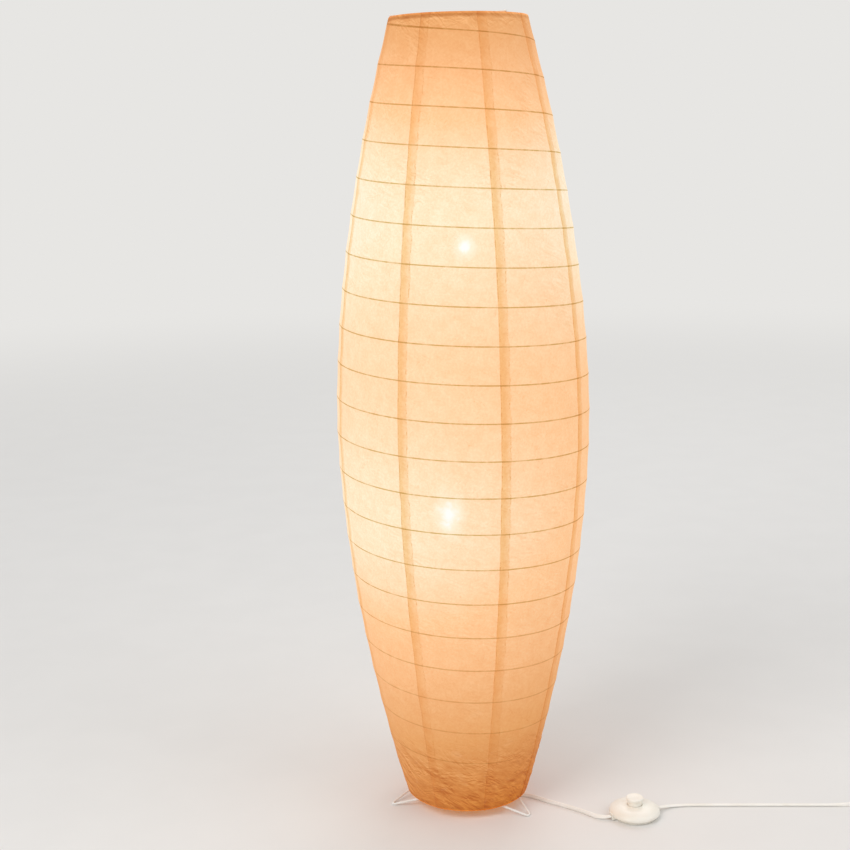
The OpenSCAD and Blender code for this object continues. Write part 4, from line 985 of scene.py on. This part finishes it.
ribFacts = {"wire": 1.8 * mm, "behind": 1.7 * mm, "top": 1.1002, "low": 0.0178, "steps": 72, "sides": 8}
ribFrom = (shade["firstRib"] - ribFacts["top"]) / shade["pitch"]
ribTurnsAll = (ribFacts["top"] - ribFacts["low"]) / shade["pitch"]
ribAt = ribFrom + np.linspace(0, ribTurnsAll, int(ribTurnsAll * ribFacts["steps"]) + 1)
ribZ = shade["firstRib"] - shade["pitch"] * ribAt
ribZ = ribZ - topTuck(ribZ)
ribAngle = 2 * np.pi * ribAt
ribRadius = shadeRadius(ribZ) - ribFacts["behind"]
ribPath = np.stack([ribRadius * np.sin(ribAngle), -ribRadius * np.cos(ribAngle), ribZ], axis=1)
ribPoints, ribFaces = ovalTube(ribPath, unitRows(ribPath * [1, 1, 0]), ribFacts["wire"], ribFacts["wire"],
                               ribFacts["sides"])
ribWinding = newMesh("ribWinding", ribPoints, ribFaces, "shade", "rib_wire")
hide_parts("rib_wire")
print("shade pasted and ribs wound")


# floor and light

studio = {"floor": (0.80, 0.79, 0.77, 1), "backdrop": (0.80, 0.79, 0.77, 1), "fadeFrom": 0.9, "fadeTo": 6.0,
          "worldLight": 0.60, "worldBlue": 1.01, "reach": 30.0, "lampAim": (0, 0, 0.45)}


def seenDirectly(tree):
    path = addNode(tree, "LightPath")
    seen = maths(tree, "MAXIMUM", path.outputs["Is Camera Ray"], path.outputs["Is Glossy Ray"])
    return maths(tree, "MAXIMUM", seen, path.outputs["Is Transmission Ray"])


floorMesh = bpy.data.meshes.new("studioFloor")
half = studio["reach"]
corners = [(-half, -half, 0), (half, -half, 0), (half, half, 0), (-half, half, 0)]
floorMesh.from_pydata(corners, [], [(0, 1, 2, 3)])
studioFloor = bpy.data.objects.new("studioFloor", floorMesh)
bpy.context.scene.collection.objects.link(studioFloor)
floorFinish, tree, shader, place = newFinish("studioFloor", Roughness=0.7, Base_Color=studio["floor"])
tone = ramp(tree, noiseOf(tree, place, 9.0, 3.0), 0.3, 0.7, 0.985, 1.0)
feed(shader, "Base Color", mixColours(tree, 1.0, studio["floor"], tone, "MULTIPLY"))
farOut = addNode(tree, "VectorMath", {"operation": "LENGTH"}, {0: place}).outputs["Value"]
fade = times(tree, ramp(tree, farOut, studio["fadeFrom"], studio["fadeTo"]), seenDirectly(tree))
plain = addNode(tree, "Emission", None, {"Color": studio["backdrop"], "Strength": 1.0})
joined = addNode(tree, "MixShader", None, {0: fade, 1: shader.outputs[0], 2: plain.outputs[0]})
tree.links.new(joined.outputs[0], tree.nodes["Material Output"].inputs["Surface"])
floorMesh.materials.append(floorFinish)

world = bpy.data.worlds.new("studioLight")
bpy.context.scene.world = world
world.use_nodes = True
tree = world.node_tree
background = tree.nodes["Background"]
lit = studio["worldLight"]
surround = (lit, lit, lit * studio["worldBlue"], 1)
feed(background, "Color", mixColours(tree, seenDirectly(tree), surround, studio["backdrop"]))

lamps = {
    "keyLamp": {"place": (-2.2, -2.6, 3.2), "size": 2.2, "power": 70.0},
    "fillLamp": {"place": (2.8, -1.4, 2.4), "size": 2.4, "power": 22.0},
    "backLamp": {"place": (0.8, 3.0, 3.0), "size": 2.2, "power": 26.0},
}
for name, facts in lamps.items():
    lampData = bpy.data.lights.new(name, "AREA")
    lampData.shape = "SQUARE"
    lampData.size = facts["size"]
    lampData.energy = facts["power"]
    lamp = bpy.data.objects.new(name, lampData)
    lamp.location = facts["place"]
    aim = Vector(studio["lampAim"]) - Vector(facts["place"])
    lamp.rotation_euler = aim.to_track_quat("-Z", "Y").to_euler()
    bpy.context.scene.collection.objects.link(lamp)
print("floor and light set")
